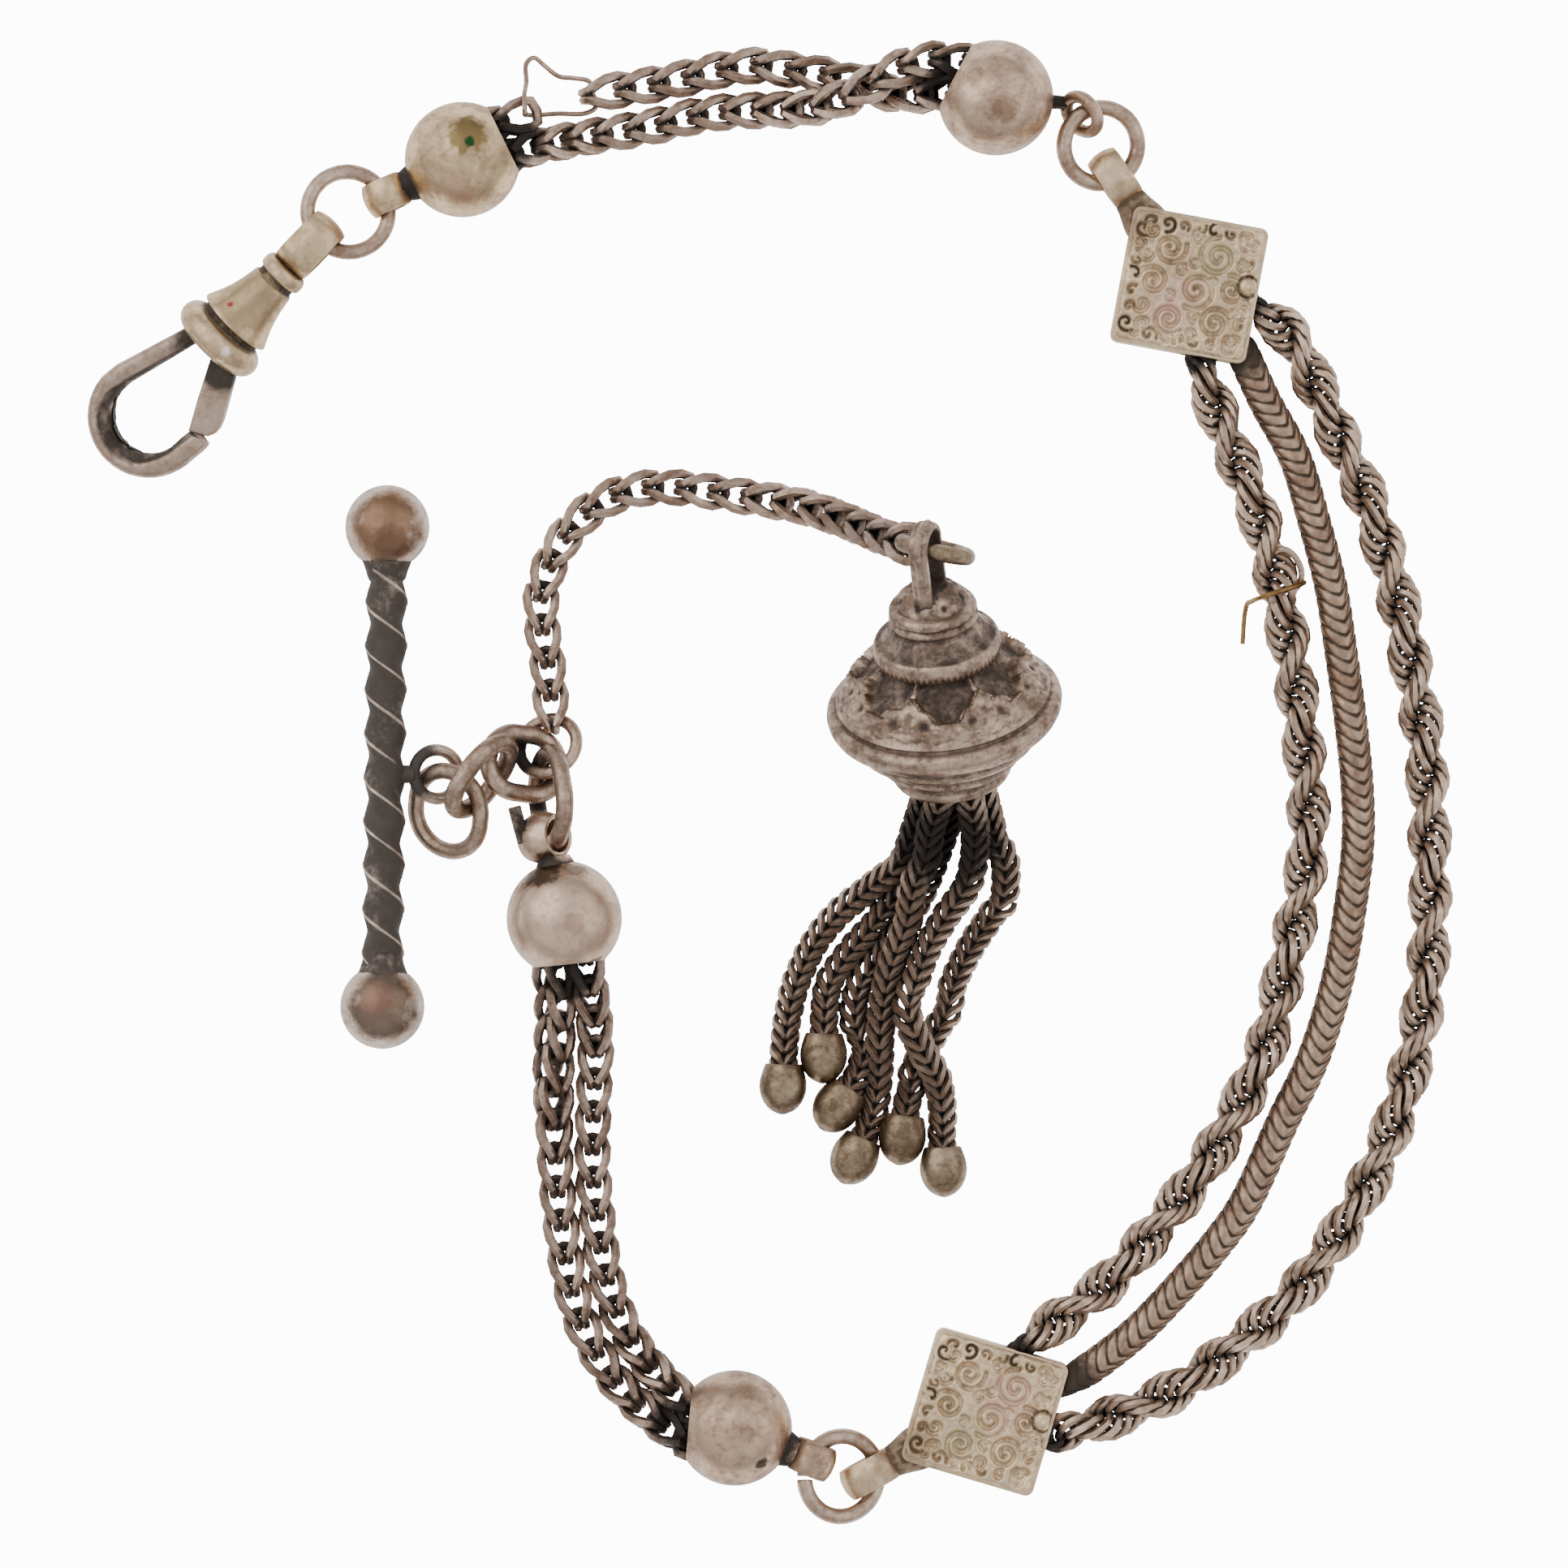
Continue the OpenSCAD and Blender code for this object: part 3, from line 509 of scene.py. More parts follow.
ringNodes = {
    "ring_clip": (ringMetal, 0.05), "ring_upper": (ringMetal, 0.03), "ring_lower": (ringMetal, 0.03),
    "bar_link_1": (linkMetal, 0.06), "bar_link_2": (linkMetal, 0.12), "bar_link_3": (linkMetal, 0.12),
    "bar_link_4": (linkMetal, 0.1), "pendant_ring": (linkMetal, 0.04), "tassel_ring": (tipMetal, 0.02),
}


def swollen(node, amount):
    bm = nodeCopy(node)
    bmesh.ops.recalc_face_normals(bm, faces=bm.faces)
    bm.normal_update()
    for vert in bm.verts:
        vert.co += vert.normal * amount * (1 + 0.3 * noise.noise(vert.co * 0.9))
    return bm


# painted shade where the rings crowd together
crowdedShade = [((-15.2, 1.7, 1.8), 1.7, 0.9), ((-14.2, -1.4, 1.6), 1.1, 0.9), ((-18.6, 0.2, 1.2), 0.9, 0.6)]
for node, (metal, amount) in ringNodes.items():
    makePiece(node.replace("_", "-") + "-worn", [swollen(node, amount)], metal, node, dark=crowdedShade)
print("rings made")


# Balls: a hollow shell turned about its mouth, a bail and what holds the chains inside

ballValues = {"radius": 3.55, "wall": 0.4, "mouthRadius": 2.08, "steps": 40, "holdReach": 3.35}
ballPlaces = {  # centre, and the heading of the mouth
    "ball_clip": ((-18.85, 38.25, 3.55), 26),
    "ball_upper": ((13.9, 42.05, 3.55), 152),
    "ball_bar": ((-12.6, -8.35, 3.55), -84),
    "ball_lower": ((-2.15, -39.65, 3.55), 175),
}


def ballShell(mouth):
    r, wall, mouthRadius = ballValues["radius"], ballValues["wall"], ballValues["mouthRadius"]
    steps = ballValues["steps"]
    turn = math.pi - math.asin(mouthRadius / r) - 0.09
    angles = [math.pi - turn * i / steps for i in range(steps + 1)]
    profile = [(r * math.sin(a), r * math.cos(a)) for a in angles]
    profile += [(2.28, 2.74), (2.22, 2.8), (2.14, 2.8), (2.08, 2.72)]  # rolled lip
    inner = r - wall
    rim = math.asin(mouthRadius / inner)
    angles = [rim + (math.pi - rim) * i / steps for i in range(steps + 1)]
    profile += [(inner * math.sin(a), inner * math.cos(a)) for a in angles]
    return turned([(max(0.0, x), z) for x, z in profile], 72, headed(mouth) @ sideways)


def domedStrap(holeRadius, width, thick=0.5, matrix=Matrix(), stretch=0.0):
    # a ring of domed band; its hole runs along the local Y axis
    half = width / 2
    section = [
        (holeRadius, -half + 0.06), (holeRadius + 0.12, -half), (holeRadius + 0.26, -half + 0.03),
        (holeRadius + 0.38, -half * 0.72), (holeRadius + thick - 0.02, -half * 0.35), (holeRadius + thick, 0),
        (holeRadius + thick - 0.02, half * 0.35), (holeRadius + 0.38, half * 0.72),
        (holeRadius + 0.26, half - 0.03), (holeRadius + 0.12, half), (holeRadius, half - 0.06),
        (holeRadius, 0),
    ]
    bm = turned(section, 56, closed=True)
    for vert in bm.verts:
        if stretch and abs(vert.co.x) > 1e-4:
            vert.co.x += math.copysign(stretch, vert.co.x) * min(1, abs(vert.co.x) / 0.2)
    bm.transform(matrix @ Matrix.Rotation(math.pi / 2, 4, "X"))
    return bm


def innerBar(mouth):
    # a bar across the ball, which its chains hang on
    half = math.sqrt(ballValues["holdReach"] ** 2 - 1.25 ** 2)
    return cone(0.35, 0.35, 2 * half, headed(mouth) @ along(1.25, half, -0.1)
                @ Matrix.Rotation(math.pi / 2, 4, "X"), 16)


def innerPost(x, y):
    half = math.sqrt(ballValues["holdReach"] ** 2 - x * x - y * y)
    return cone(0.32, 0.32, 2 * half, along(x, y, -half), 16)


def makeBall(name, node, metal, parts):
    at, mouth = ballPlaces[node]
    mesh = toMesh(name, [ballShell(mouth)] + parts)
    mesh.transform(along(*at))
    makePiece(name, [mesh], metal, node, reach=1.2)


ballOneMetal = makeMetal("ballOneSilver", (0.72, 0.53, 0.33), (0.38, 0.265, 0.16), patches=0.8, spots=[
    ((-19.2, 36.6, 6.6), 1.5, (0.42, 0.25, 0.17), 0.5), ((-18.4, 39.7, 6.8), 1.45, (0.22, 0.15, 0.06), 0.95),
    ((-18.3, 39.2, 7.0), 0.38, (0.02, 0.07, 0.025), 1.0), ((-20.2, 38.0, 6.7), 0.7, (0.36, 0.2, 0.12), 0.4),
    ((-18.6, 35.6, 5.8), 0.8, (0.4, 0.22, 0.16), 0.4),
])
ballTwoMetal = makeMetal("ballTwoSilver", (0.64, 0.46, 0.335), patches=0.7, spots=[
    ((14.4, 41.2, 6.9), 1.0, brownStain, 0.6), ((12.6, 43.2, 6.6), 0.7, brownStain, 0.5),
])
ballThreeMetal = makeMetal("ballThreeSilver", (0.66, 0.49, 0.37), (0.42, 0.28, 0.2), patches=0.6, spots=[
    # the dark spots by the strap's foot, at y -5.5 and -5.3, are partly a dark smear and partly painted
    # shadow of the leaning strap
    ((-11.9, -8.6, 7.1), 0.8, (0.33, 0.2, 0.15), 0.6), ((-13.9, -5.5, 5.2), 1.5, (0.06, 0.042, 0.03), 0.85),
    ((-11.9, -5.3, 5.2), 0.9, (0.09, 0.06, 0.045), 0.7),
    ((-10.6, -11.2, 5.0), 0.7, (0.05, 0.033, 0.022), 0.85),
])
ballFourMetal = makeMetal("ballFourSilver", (0.58, 0.415, 0.295), patches=0.8, spots=[
    ((-0.4, -41.8, 6.0), 0.55, (0.03, 0.018, 0.012), 0.95),
])
makeBall("ball-by-clip", "ball_clip", ballOneMetal, [
    innerBar(26),
    domedStrap(0.95, 2.1, matrix=headed(205) @ along(5.15)),
    cone(1.15, 0.9, 0.75, headed(205) @ along(3.35) @ sideways),
])
makeBall("ball-by-upper-ring", "ball_upper", ballTwoMetal, [
    innerPost(-0.65, -0.35),
    innerPost(0.05, 1.35),
    cone(0.46, 0.4, 1.3, turnedBy((0, 0, 0), -3.1, -15.6, 0) @ along(3.3) @ sideways),
    roundRing(1.2, 0.4, 40, turnedBy((5.33, -0.96, -0.88), -4.4, 43.9, 31.3)),
])
makeBall("ball-by-lower-ring", "ball_lower", ballFourMetal, [
    innerPost(-0.8, -0.95),
    innerPost(-0.55, 0.95),
    domedStrap(0.95, 2.1, matrix=headed(-22) @ along(5.15, 0, -0.25)),
    cone(1.15, 0.9, 0.75, headed(-22) @ along(3.35) @ sideways),
])
# the bar ball's strap leans, and its free end is square and dark
makeBall("ball-by-bar", "ball_bar", ballThreeMetal, [
    innerBar(-84),
    domedStrap(1.05, 2.3, thick=0.55, matrix=along(-0.42, 0.05) @ headed(99.3) @ along(4.96, 0, -0.15)
               @ Matrix.Rotation(math.radians(-38), 4, "X")),
    cone(1.25, 0.95, 0.6, headed(99.3) @ along(3.25) @ sideways),
    darkened(block((2.3, 0.8, 0.6), turnedBy((-2.76, 5.75, 0.45), 105, 0, 0), soft=0.08), 0.5),
])
print("balls made")


# Foxtail chains of folded links

foxtailValues = {"pitch": 2.05, "wire": 0.31, "half": 0.8, "fold": 0.26, "shoulder": 0.8}
chainMetal = makeMetal("chainSilver", (0.51, 0.38, 0.305), (0.26, 0.165, 0.115), patches=0.8)
lowerMetal = makeMetal("lowerChainSilver", (0.39, 0.285, 0.225), (0.18, 0.115, 0.085), patches=0.85)

routeA = [
    (-11.3, 42.3, 1.1), (-9.2, 42.7, 1.1), (-7.2, 43.0, 1.1), (-5.2, 43.4, 1.1),
    (-3.1, 43.9, 1.1), (-1.1, 44.2, 1.1), (0.9, 44.0, 1.1), (2.8, 43.7, 1.1),
    (4.6, 43.4, 1.1), (6.3, 42.8, 1.25), (8.1, 42.3, 1.8), (10.0, 42.3, 2.8),
    (11.65, 42.4, 3.5), (13.25, 41.7, 3.6),
]
routeB = [
    (-17.8, 37.6, 3.45), (-16.0, 38.45, 3.3), (-14.2, 39.15, 2.7), (-12.5, 39.5, 1.9),
    (-11.0, 39.8, 1.3), (-9.7, 40.0, 1.1), (-7.9, 40.3, 1.1), (-6.4, 40.6, 1.1),
    (-4.9, 41.0, 1.1), (-3.0, 41.3, 1.1), (-1.1, 41.4, 1.2), (0.8, 41.4, 1.7),
    (2.8, 41.5, 2.7), (4.6, 42.0, 3.5), (6.3, 42.9, 3.9), (8.1, 43.9, 3.95),
    (10.0, 44.4, 3.75), (12.0, 44.3, 3.6), (13.95, 43.4, 3.55),
]
routeStub = [(-18.72, 39.55, 3.45), (-16.9, 40.42, 3.45), (-15.0, 41.05, 3.05)]
routeC = [
    (-13.57, -9.06, 3.45), (-13.36, -11.1, 3.3), (-13.2, -13.0, 2.7), (-13.2, -15.0, 1.8),
    (-13.3, -17.0, 1.2), (-13.3, -19.3, 1.1), (-13.2, -23.3, 1.1), (-12.9, -26.8, 1.1),
    (-12.4, -30.3, 1.1), (-11.6, -33.3, 1.1), (-10.1, -36.1, 1.2), (-8.7, -37.75, 1.7),
    (-7.0, -39.2, 2.5), (-5.0, -40.5, 3.45), (-2.95, -40.6, 3.45),
]
routeD = [
    (-11.49, -8.84, 3.45), (-11.28, -10.88, 3.3), (-11.0, -12.8, 2.7), (-10.75, -14.8, 1.8),
    (-10.7, -16.8, 1.2), (-10.8, -18.8, 1.1), (-10.9, -23.3, 1.1), (-10.6, -26.8, 1.1),
    (-10.1, -30.3, 1.1), (-9.1, -33.3, 1.1), (-7.8, -35.4, 1.7), (-6.3, -37.0, 2.7),
    (-4.7, -38.5, 3.45), (-2.7, -38.7, 3.45),
]
routePendant = [
    (-13.42, 3.38, 1.1), (-13.5, 5.5, 1.1), (-13.7, 7.6, 1.1), (-14.0, 9.5, 1.1),
    (-14.1, 11.2, 1.1), (-13.8, 12.8, 1.1), (-13.0, 14.4, 1.1), (-12.0, 16.0, 1.1),
    (-10.4, 17.2, 1.1), (-8.7, 18.0, 1.1), (-6.8, 18.2, 1.1), (-4.7, 18.1, 1.1),
    (-2.8, 17.8, 1.1), (-0.8, 17.5, 1.2), (1.0, 17.2, 1.7), (2.7, 16.8, 2.7),
    (4.3, 16.2, 4.0), (5.9, 15.5, 5.7), (7.4, 14.8, 7.6), (8.95, 14.4, 9.65),
]


def foldedLink(stretch, half, values):
    corner = (2.62 * stretch, half - 0.1, 0.22)
    arm = (1.3 * stretch, half, 0.68)
    neck = (0.2 * stretch, values["fold"], values["shoulder"])
    right = [corner, arm, neck, (-0.2, values["fold"] * 0.9, 0)]
    path = right + [(x, y, -z) for x, y, z in right[2::-1]]
    path += [(x, -y, -z) for x, y, z in right[:3]]
    return path + [(x, -y, z) for x, y, z in right[::-1]]


def makeFoxtail(name, node, route, dark=(), metal=chainMetal, rollFrom=None, lastHalf=None):
    # a strand turns by 50 degrees where rollFrom names a share of its length
    values = foxtailValues
    found, pitch = stations(route, values["pitch"])
    paths = []
    last = len(found) - 2
    for i in range(last + 1):
        point = found[i][0]
        way = (found[i + 1][0] - point).normalized()
        turn = 50 * max(0.0, min(1.0, (i / last - rollFrom) / 0.2)) if rollFrom else 0
        half = lastHalf if lastHalf and i == last else values["half"]
        matrix = levelFrame(point, way, turn)
        link = [matrix @ Vector(p) for p in foldedLink(pitch / values["pitch"], half, values)]
        paths.append(smoothed(link, 2, closed=True))
    makePiece(name, [wires(paths, values["wire"])], metal, node, reach=1.1, rays=10, dark=dark)


# painted shade where the strands go into the balls' mouths
mouthOne = ((-16.1, 39.5, 3.1), 2.7, 1.0)
mouthTwo = ((11.2, 43.3, 3.3), 2.7, 1.0)
lowerMouths = [((-12.3, -11.4, 2.9), 2.7, 1.0), ((-5.2, -39.4, 3.1), 2.7, 1.0)]
makeFoxtail("foxtail-upper-a", "strand_upper_a", routeA, [mouthTwo])
makeFoxtail("foxtail-upper-b", "strand_upper_b", routeB, [mouthOne, mouthTwo])
makeFoxtail("foxtail-stub", "strand_stub", routeStub, [mouthOne])
makeFoxtail("foxtail-lower-c", "strand_lower_c", routeC[::-1], lowerMouths, lowerMetal, rollFrom=0.62)
makeFoxtail("foxtail-lower-d", "strand_lower_d", routeD[::-1], lowerMouths, lowerMetal)
makeFoxtail("foxtail-pendant", "pendant_chain", routePendant, lastHalf=1.0)
print("foxtail chains made")


# Rope chains of small rings wound into two strands, and the snake chain

routeInner = [
    (26.5, 26.6, 1.6), (26.8, 25.0, 1.5), (28.2, 21.2, 1.5), (29.7, 17.7, 1.5),
    (30.9, 13.7, 1.5), (31.8, 9.7, 1.5), (32.4, 6.1, 1.5), (32.9, 2.3, 1.5),
    (33.2, -1.4, 1.5), (33.1, -4.8, 1.5), (32.5, -8.3, 1.5), (31.7, -11.8, 1.5),
    (30.6, -16.3, 1.5), (29.0, -19.8, 1.5), (26.9, -23.5, 1.5), (24.4, -26.8, 1.5),
    (21.8, -29.9, 1.5), (19.5, -31.9, 1.5), (17.3, -33.5, 1.5), (15.2, -35.2, 1.6),
]
routeSnake = [
    (28.7, 27.5, 1.5), (29.3, 26.2, 1.4), (30.6, 23.4, 1.1), (32.4, 20.0, 1.1),
    (33.6, 16.0, 1.1), (34.6, 12.1, 1.1), (35.2, 8.3, 1.1), (35.8, 4.0, 1.1),
    (36.2, 0.2, 1.1), (36.3, -3.1, 1.1), (36.0, -6.3, 1.1), (35.1, -11.8, 1.1),
    (33.6, -16.8, 1.1), (31.6, -21.0, 1.1), (29.4, -25.8, 1.1), (27.6, -28.4, 1.1),
    (25.3, -31.1, 1.1), (22.7, -33.8, 1.1), (20.2, -35.8, 1.1), (18.6, -36.8, 1.4),
    (17.6, -37.4, 1.5),
]
routeOuter = [
    (29.4, 29.7, 1.6), (30.9, 28.6, 1.5), (32.3, 27.2, 1.5), (33.8, 24.2, 1.5),
    (35.5, 20.3, 1.5), (37.0, 17.1, 1.5), (38.2, 13.2, 1.5), (39.0, 10.1, 1.5),
    (39.7, 6.2, 1.5), (40.3, 2.9, 1.5), (40.6, -1.2, 1.5), (40.7, -5.8, 1.5),
    (40.6, -10.8, 1.5), (40.0, -15.3, 1.5), (38.8, -20.0, 1.5), (37.1, -24.3, 1.5),
    (34.8, -28.3, 1.5), (32.1, -31.8, 1.5), (28.9, -34.6, 1.5), (25.9, -36.9, 1.5),
    (23.2, -38.3, 1.5), (20.6, -39.3, 1.5), (18.6, -39.9, 1.5), (16.7, -40.3, 1.6),
]

ropeValues = {"spacing": 0.56, "lay": 7.3, "ringRadius": 1.19, "wire": 0.265, "tilt": 12,
              "points": 14, "endRadius": 0.6, "endLength": 1.6}
ropeMetal = makeMetal("ropeSilver", (0.56, 0.415, 0.315))


def makeRope(name, node, route, start=0.0):
    values = ropeValues
    found, step = stations(route, values["spacing"])
    angles = [fullTurn * k / values["points"] for k in range(values["points"])]
    tilt = Matrix.Rotation(math.radians(values["tilt"]), 4, "Y")
    paths = []
    for i, (point, way) in enumerate(found):
        radius = values["ringRadius"]
        fromEnd = min(i, len(found) - 1 - i) * step / values["endLength"]
        if fromEnd < 1:
            radius = values["endRadius"] + (radius - values["endRadius"]) * fromEnd
        matrix = levelFrame(point, way, start + i * step * 360 / values["lay"]) @ tilt
        matrix = matrix @ Matrix.Rotation(0.12 * math.sin(i * 2.3), 4, "Z")
        paths.append([matrix @ Vector((radius * math.cos(a), radius * math.sin(a), 0)) for a in angles])
    # painted shade where the rope goes into the slides
    ends = [(route[0], 2.2, 1.0), (route[-1], 2.2, 1.0)]
    makePiece(name, [wires(paths, values["wire"])], ropeMetal, node, reach=1.0, rays=10, dark=ends)


makeRope("rope-inner", "rope_inner", routeInner)
makeRope("rope-outer", "rope_outer", routeOuter, start=35)

snakeValues = {"pitch": 0.83, "radius": 1.03, "sides": 48, "chevron": 0.51, "endRadius": 0.74,
               "endLength": 1.6}
snakeMetal = makeMetal("snakeSilver", (0.44, 0.31, 0.22), (0.23, 0.14, 0.1), brownShadeGrime, patches=0.75)
# the darkness is painted shade in the gaps between plates
plateShape = [  # place along a plate, radius, darkness
    (0.0, -0.09, 1.0), (0.09, -0.08, 0.9), (0.17, -0.02, 0.4), (0.3, 0.02, 0.1), (0.66, 0.02, 0.0),
    (0.86, 0.0, 0.2), (0.94, -0.05, 0.75),
]


def zigzag(a):
    # the wave of the plates about the chain, 1 at its low points and -1 at its high points
    u = 180 - (math.degrees(a) - 66) % 180
    t = u / 68 if u < 68 else (180 - u) / 112
    return 0.55 * math.cos(math.pi * t) + 0.45 * (1 - 2 * t)


def makeSnake():
    values = snakeValues
    found, step = stations(routeSnake, values["pitch"])
    sides = values["sides"]
    bm = bmesh.new()
    mark = marks(bm)
    bmesh.ops.create_circle(bm, segments=sides, radius=1, cap_ends=True)
    ring = list(bm.verts)
    edges = list(bm.edges)
    total = (len(found) - 1) * step
    for i in range(len(found) - 1):
        for part, lift, dark in plateShape:
            if i or part:
                made = bmesh.ops.extrude_edge_only(bm, edges=edges)["geom"]
                ring = vertsIn(made)
                inRing = set(ring)
                edges = [e for e in made if isinstance(e, bmesh.types.BMEdge) and set(e.verts) <= inRing]
            point = found[i][0].lerp(found[i + 1][0], part)
            way = found[i][1].lerp(found[i + 1][1], part).normalized()
            matrix = levelFrame(point, way)
            radius = values["radius"]
            fromEnd = min((i + part) * step, total - (i + part) * step) / values["endLength"]
            if fromEnd <= 1:
                radius = values["endRadius"] + (radius - values["endRadius"]) * fromEnd
            for k, vert in enumerate(ring):
                a = fullTurn * k / sides
                wave = zigzag(a)
                r = radius + lift
                vert.co = matrix @ Vector((values["chevron"] * wave, r * math.cos(a), r * math.sin(a) * 0.97))
                # painted shade in the gaps between plates, most at the wave's low points, and on the chain's
                # two sides
                vert[mark] = dark * (0.5 + 0.5 * wave ** 4) + 0.3 * abs(math.cos(a)) ** 6
    closeHoles(bm)
    # painted shade where the chain goes into the slides
    ends = [(routeSnake[0], 3.6, 0.9), (routeSnake[-1], 3.6, 0.9)]
    makePiece("snake-chain", [bm], snakeMetal, "snake_middle", reach=0.5, rays=8, dark=ends, sharp=60)


makeSnake()
print("slide chains made")


# Slides: a stepped block with engraved plates, pockets for the chains, a flared foot and a bail

slideValues = {"side": 8.45, "plate": 8.05, "thick": 2.6, "corner": 0.5, "cells": 140, "lineWidth": 0.13,
               "lineDepth": 0.15, "borderHalf": 3.45, "borderCount": 7, "rivet": (3.55, 0.5),
               "rivetRadius": 0.55}
pinkStain = (0.62, 0.4, 0.32)
oliveStain = (0.46, 0.39, 0.24)
slideMetal = makeMetal(
    "slideSilver", (0.77, 0.585, 0.385), (0.44, 0.31, 0.19), brownShadeGrime, scale=420, patches=0.65,
    spots=[((22.7, 35.2, 3.0), 2.4, brownStain, 0.45), ((8.3, -41.4, 3.0), 2.4, brownStain, 0.45),
           ((24.6, 29.4, 3.2), 1.9, pinkStain, 0.5), ((27.6, 31.9, 3.2), 1.6, oliveStain, 0.5),
           ((14.6, -37.9, 3.2), 1.9, pinkStain, 0.5), ((11.9, -39.9, 3.2), 1.6, oliveStain, 0.5)],
)


def spiral(cx, cy, r, turns, start, hand=1):
    points = []
    count = int(40 * turns)
    for i in range(count + 1):
        t = i / count
        a = math.radians(start) + hand * fullTurn * turns * t
        points.append((cx + r * (1 - 0.88 * t) * math.cos(a), cy + r * (1 - 0.88 * t) * math.sin(a)))
    return points


def scrollLines():
    # (line, darkness) pairs on a face, drawn as in a picture with X to the right
    large = [
        (-1.58, 2.0, 1.02), (1.42, 1.95, 1.25), (-2.3, -0.16, 0.95), (0.42, -0.3, 1.2), (-0.9, -2.3, 1.0),
        (1.9, -2.1, 1.0), (2.6, 0.1, 0.95),
    ]
    small = [
        (-3.0, 1.4, 0.45), (-0.6, 0.8, 0.36), (0.0, 2.9, 0.4), (-2.7, -1.7, 0.5), (0.6, -1.85, 0.38),
        (3.0, 1.6, 0.4), (3.0, -1.2, 0.36), (-2.8, 2.9, 0.5), (-2.4, -2.9, 0.45), (0.5, -3.0, 0.42),
        (3.0, -3.0, 0.45), (3.0, 2.9, 0.4), (-1.1, -0.9, 0.3), (0.1, 1.4, 0.3), (1.4, 0.4, 0.28),
    ]
    lines = []
    for i, (x, y, r) in enumerate(large):
        lines.append((spiral(x, y, r, 1.7, 75 * i + 20, 1 if i % 2 else -1), 0.34))
    for i, (x, y, r) in enumerate(small):
        lines.append((spiral(x, y, r, 1.1, 70 * i, 1 if i % 2 else -1), 0.26))
    half = slideValues["borderHalf"]
    count = slideValues["borderCount"]
    # the border scrolls are darker on two sides than on the other two: painted shade
    for side, dark in enumerate((0.8, 0.75, 0.45, 0.3)):
        c, s = math.cos(side * math.pi / 2), math.sin(side * math.pi / 2)
        for i in range(count):
            x = -half + (i + 0.5) * 2 * half / count
            size = 0.44 + 0.12 * math.sin(i * 2.1 + side * 1.7)
            turns = 0.75 + 0.3 * math.sin(i * 1.3 + side)
            y = half + 0.08 * math.sin(i * 3.1)
            scroll = spiral(x, y, size, turns, 200 + 65 * i, 1 if i % 3 else -1)
            shade = dark * (0.7 + 0.3 * math.sin(i * 1.9 + 2 * side))
            lines.append(([(c * a - s * b, s * a + c * b) for a, b in scroll], shade))
    return lines


def engravedPlate(seed):
    values = slideValues
    half = values["plate"] / 2
    places = [(x, y, dark) for line, dark in scrollLines() for x, y in line]
    tree = KDTree(len(places))
    for i, (x, y, dark) in enumerate(places):
        tree.insert((x, y, 0), i)
    tree.balance()
    bm = bmesh.new()
    mark = marks(bm)
    bmesh.ops.create_grid(bm, x_segments=values["cells"], y_segments=values["cells"], size=half)
    border = [e for e in bm.edges if e.is_boundary]
    bend = half - values["corner"]
    for vert in bm.verts:
        x, y = vert.co.x, vert.co.y
        index, distance = tree.find((x, y, 0))[1:]
        dark = places[index][2]
        width = values["lineWidth"] * (0.85 if dark > 0.36 else 1.2)
        line = math.exp(-(distance / width) ** 2)
        edge = max(abs(x), abs(y)) / half
        wave = 0.05 * noise.noise(Vector((x * 0.8 + seed, y * 0.8, 3)))
        fold = 0.035 * noise.noise(Vector((x * 2.6 + seed, y * 2.6, 9)))
        rounded = -0.12 * max(0.0, (edge - 0.94) / 0.06) ** 2
        boss = math.hypot(x - values["rivet"][0], y - values["rivet"][1]) / values["rivetRadius"]
        lift = 0.3 * math.sqrt(max(0.0, 1 - boss * boss))
        vert.co.z = (wave + fold - 0.12 + rounded + lift - values["lineDepth"] * line * (boss > 1.1)
                     + 0.06 * math.exp(-((distance - 0.27) / 0.14) ** 2))
        vert[mark] = dark * line * (boss > 1)
        # a dark ring round the boss's foot, painted shade
        if 1.0 < boss < 1.35:
            vert[mark] = 0.5
        corner = Vector((max(0.0, abs(x) - bend), max(0.0, abs(y) - bend)))
        if corner.x and corner.y and corner.length > values["corner"]:
            corner *= values["corner"] / corner.length
            vert.co.x = math.copysign(bend + corner.x, x)
            vert.co.y = math.copysign(bend + corner.y, y)
    for vert in vertsIn(bmesh.ops.extrude_edge_only(bm, edges=border)["geom"]):
        vert.co.z = -0.6
        vert[mark] = 0
    closeHoles(bm)
    return bm


def pocketed(body, ends):
    # cuts a round pocket for each chain that ends in the block
    core = linked("core", toMesh("core", [body]))
    cutters = []
    for first, second in ends:
        way = (Vector(second) - Vector(first)).normalized()
        pocket = toMesh("pocket", [cone(1.3, 1.3, 4.0, aimed(Vector(first) - 0.2 * way, way), 40)])
        cutters.append(linked("pocket", pocket))
        cut = core.modifiers.new("pocket", "BOOLEAN")
        cut.operation = "DIFFERENCE"
        cut.solver = "EXACT"
        cut.object = cutters[-1]
    mesh = finalMesh(core)
    for holder in cutters + [core]:
        bpy.data.objects.remove(holder)
    return mesh


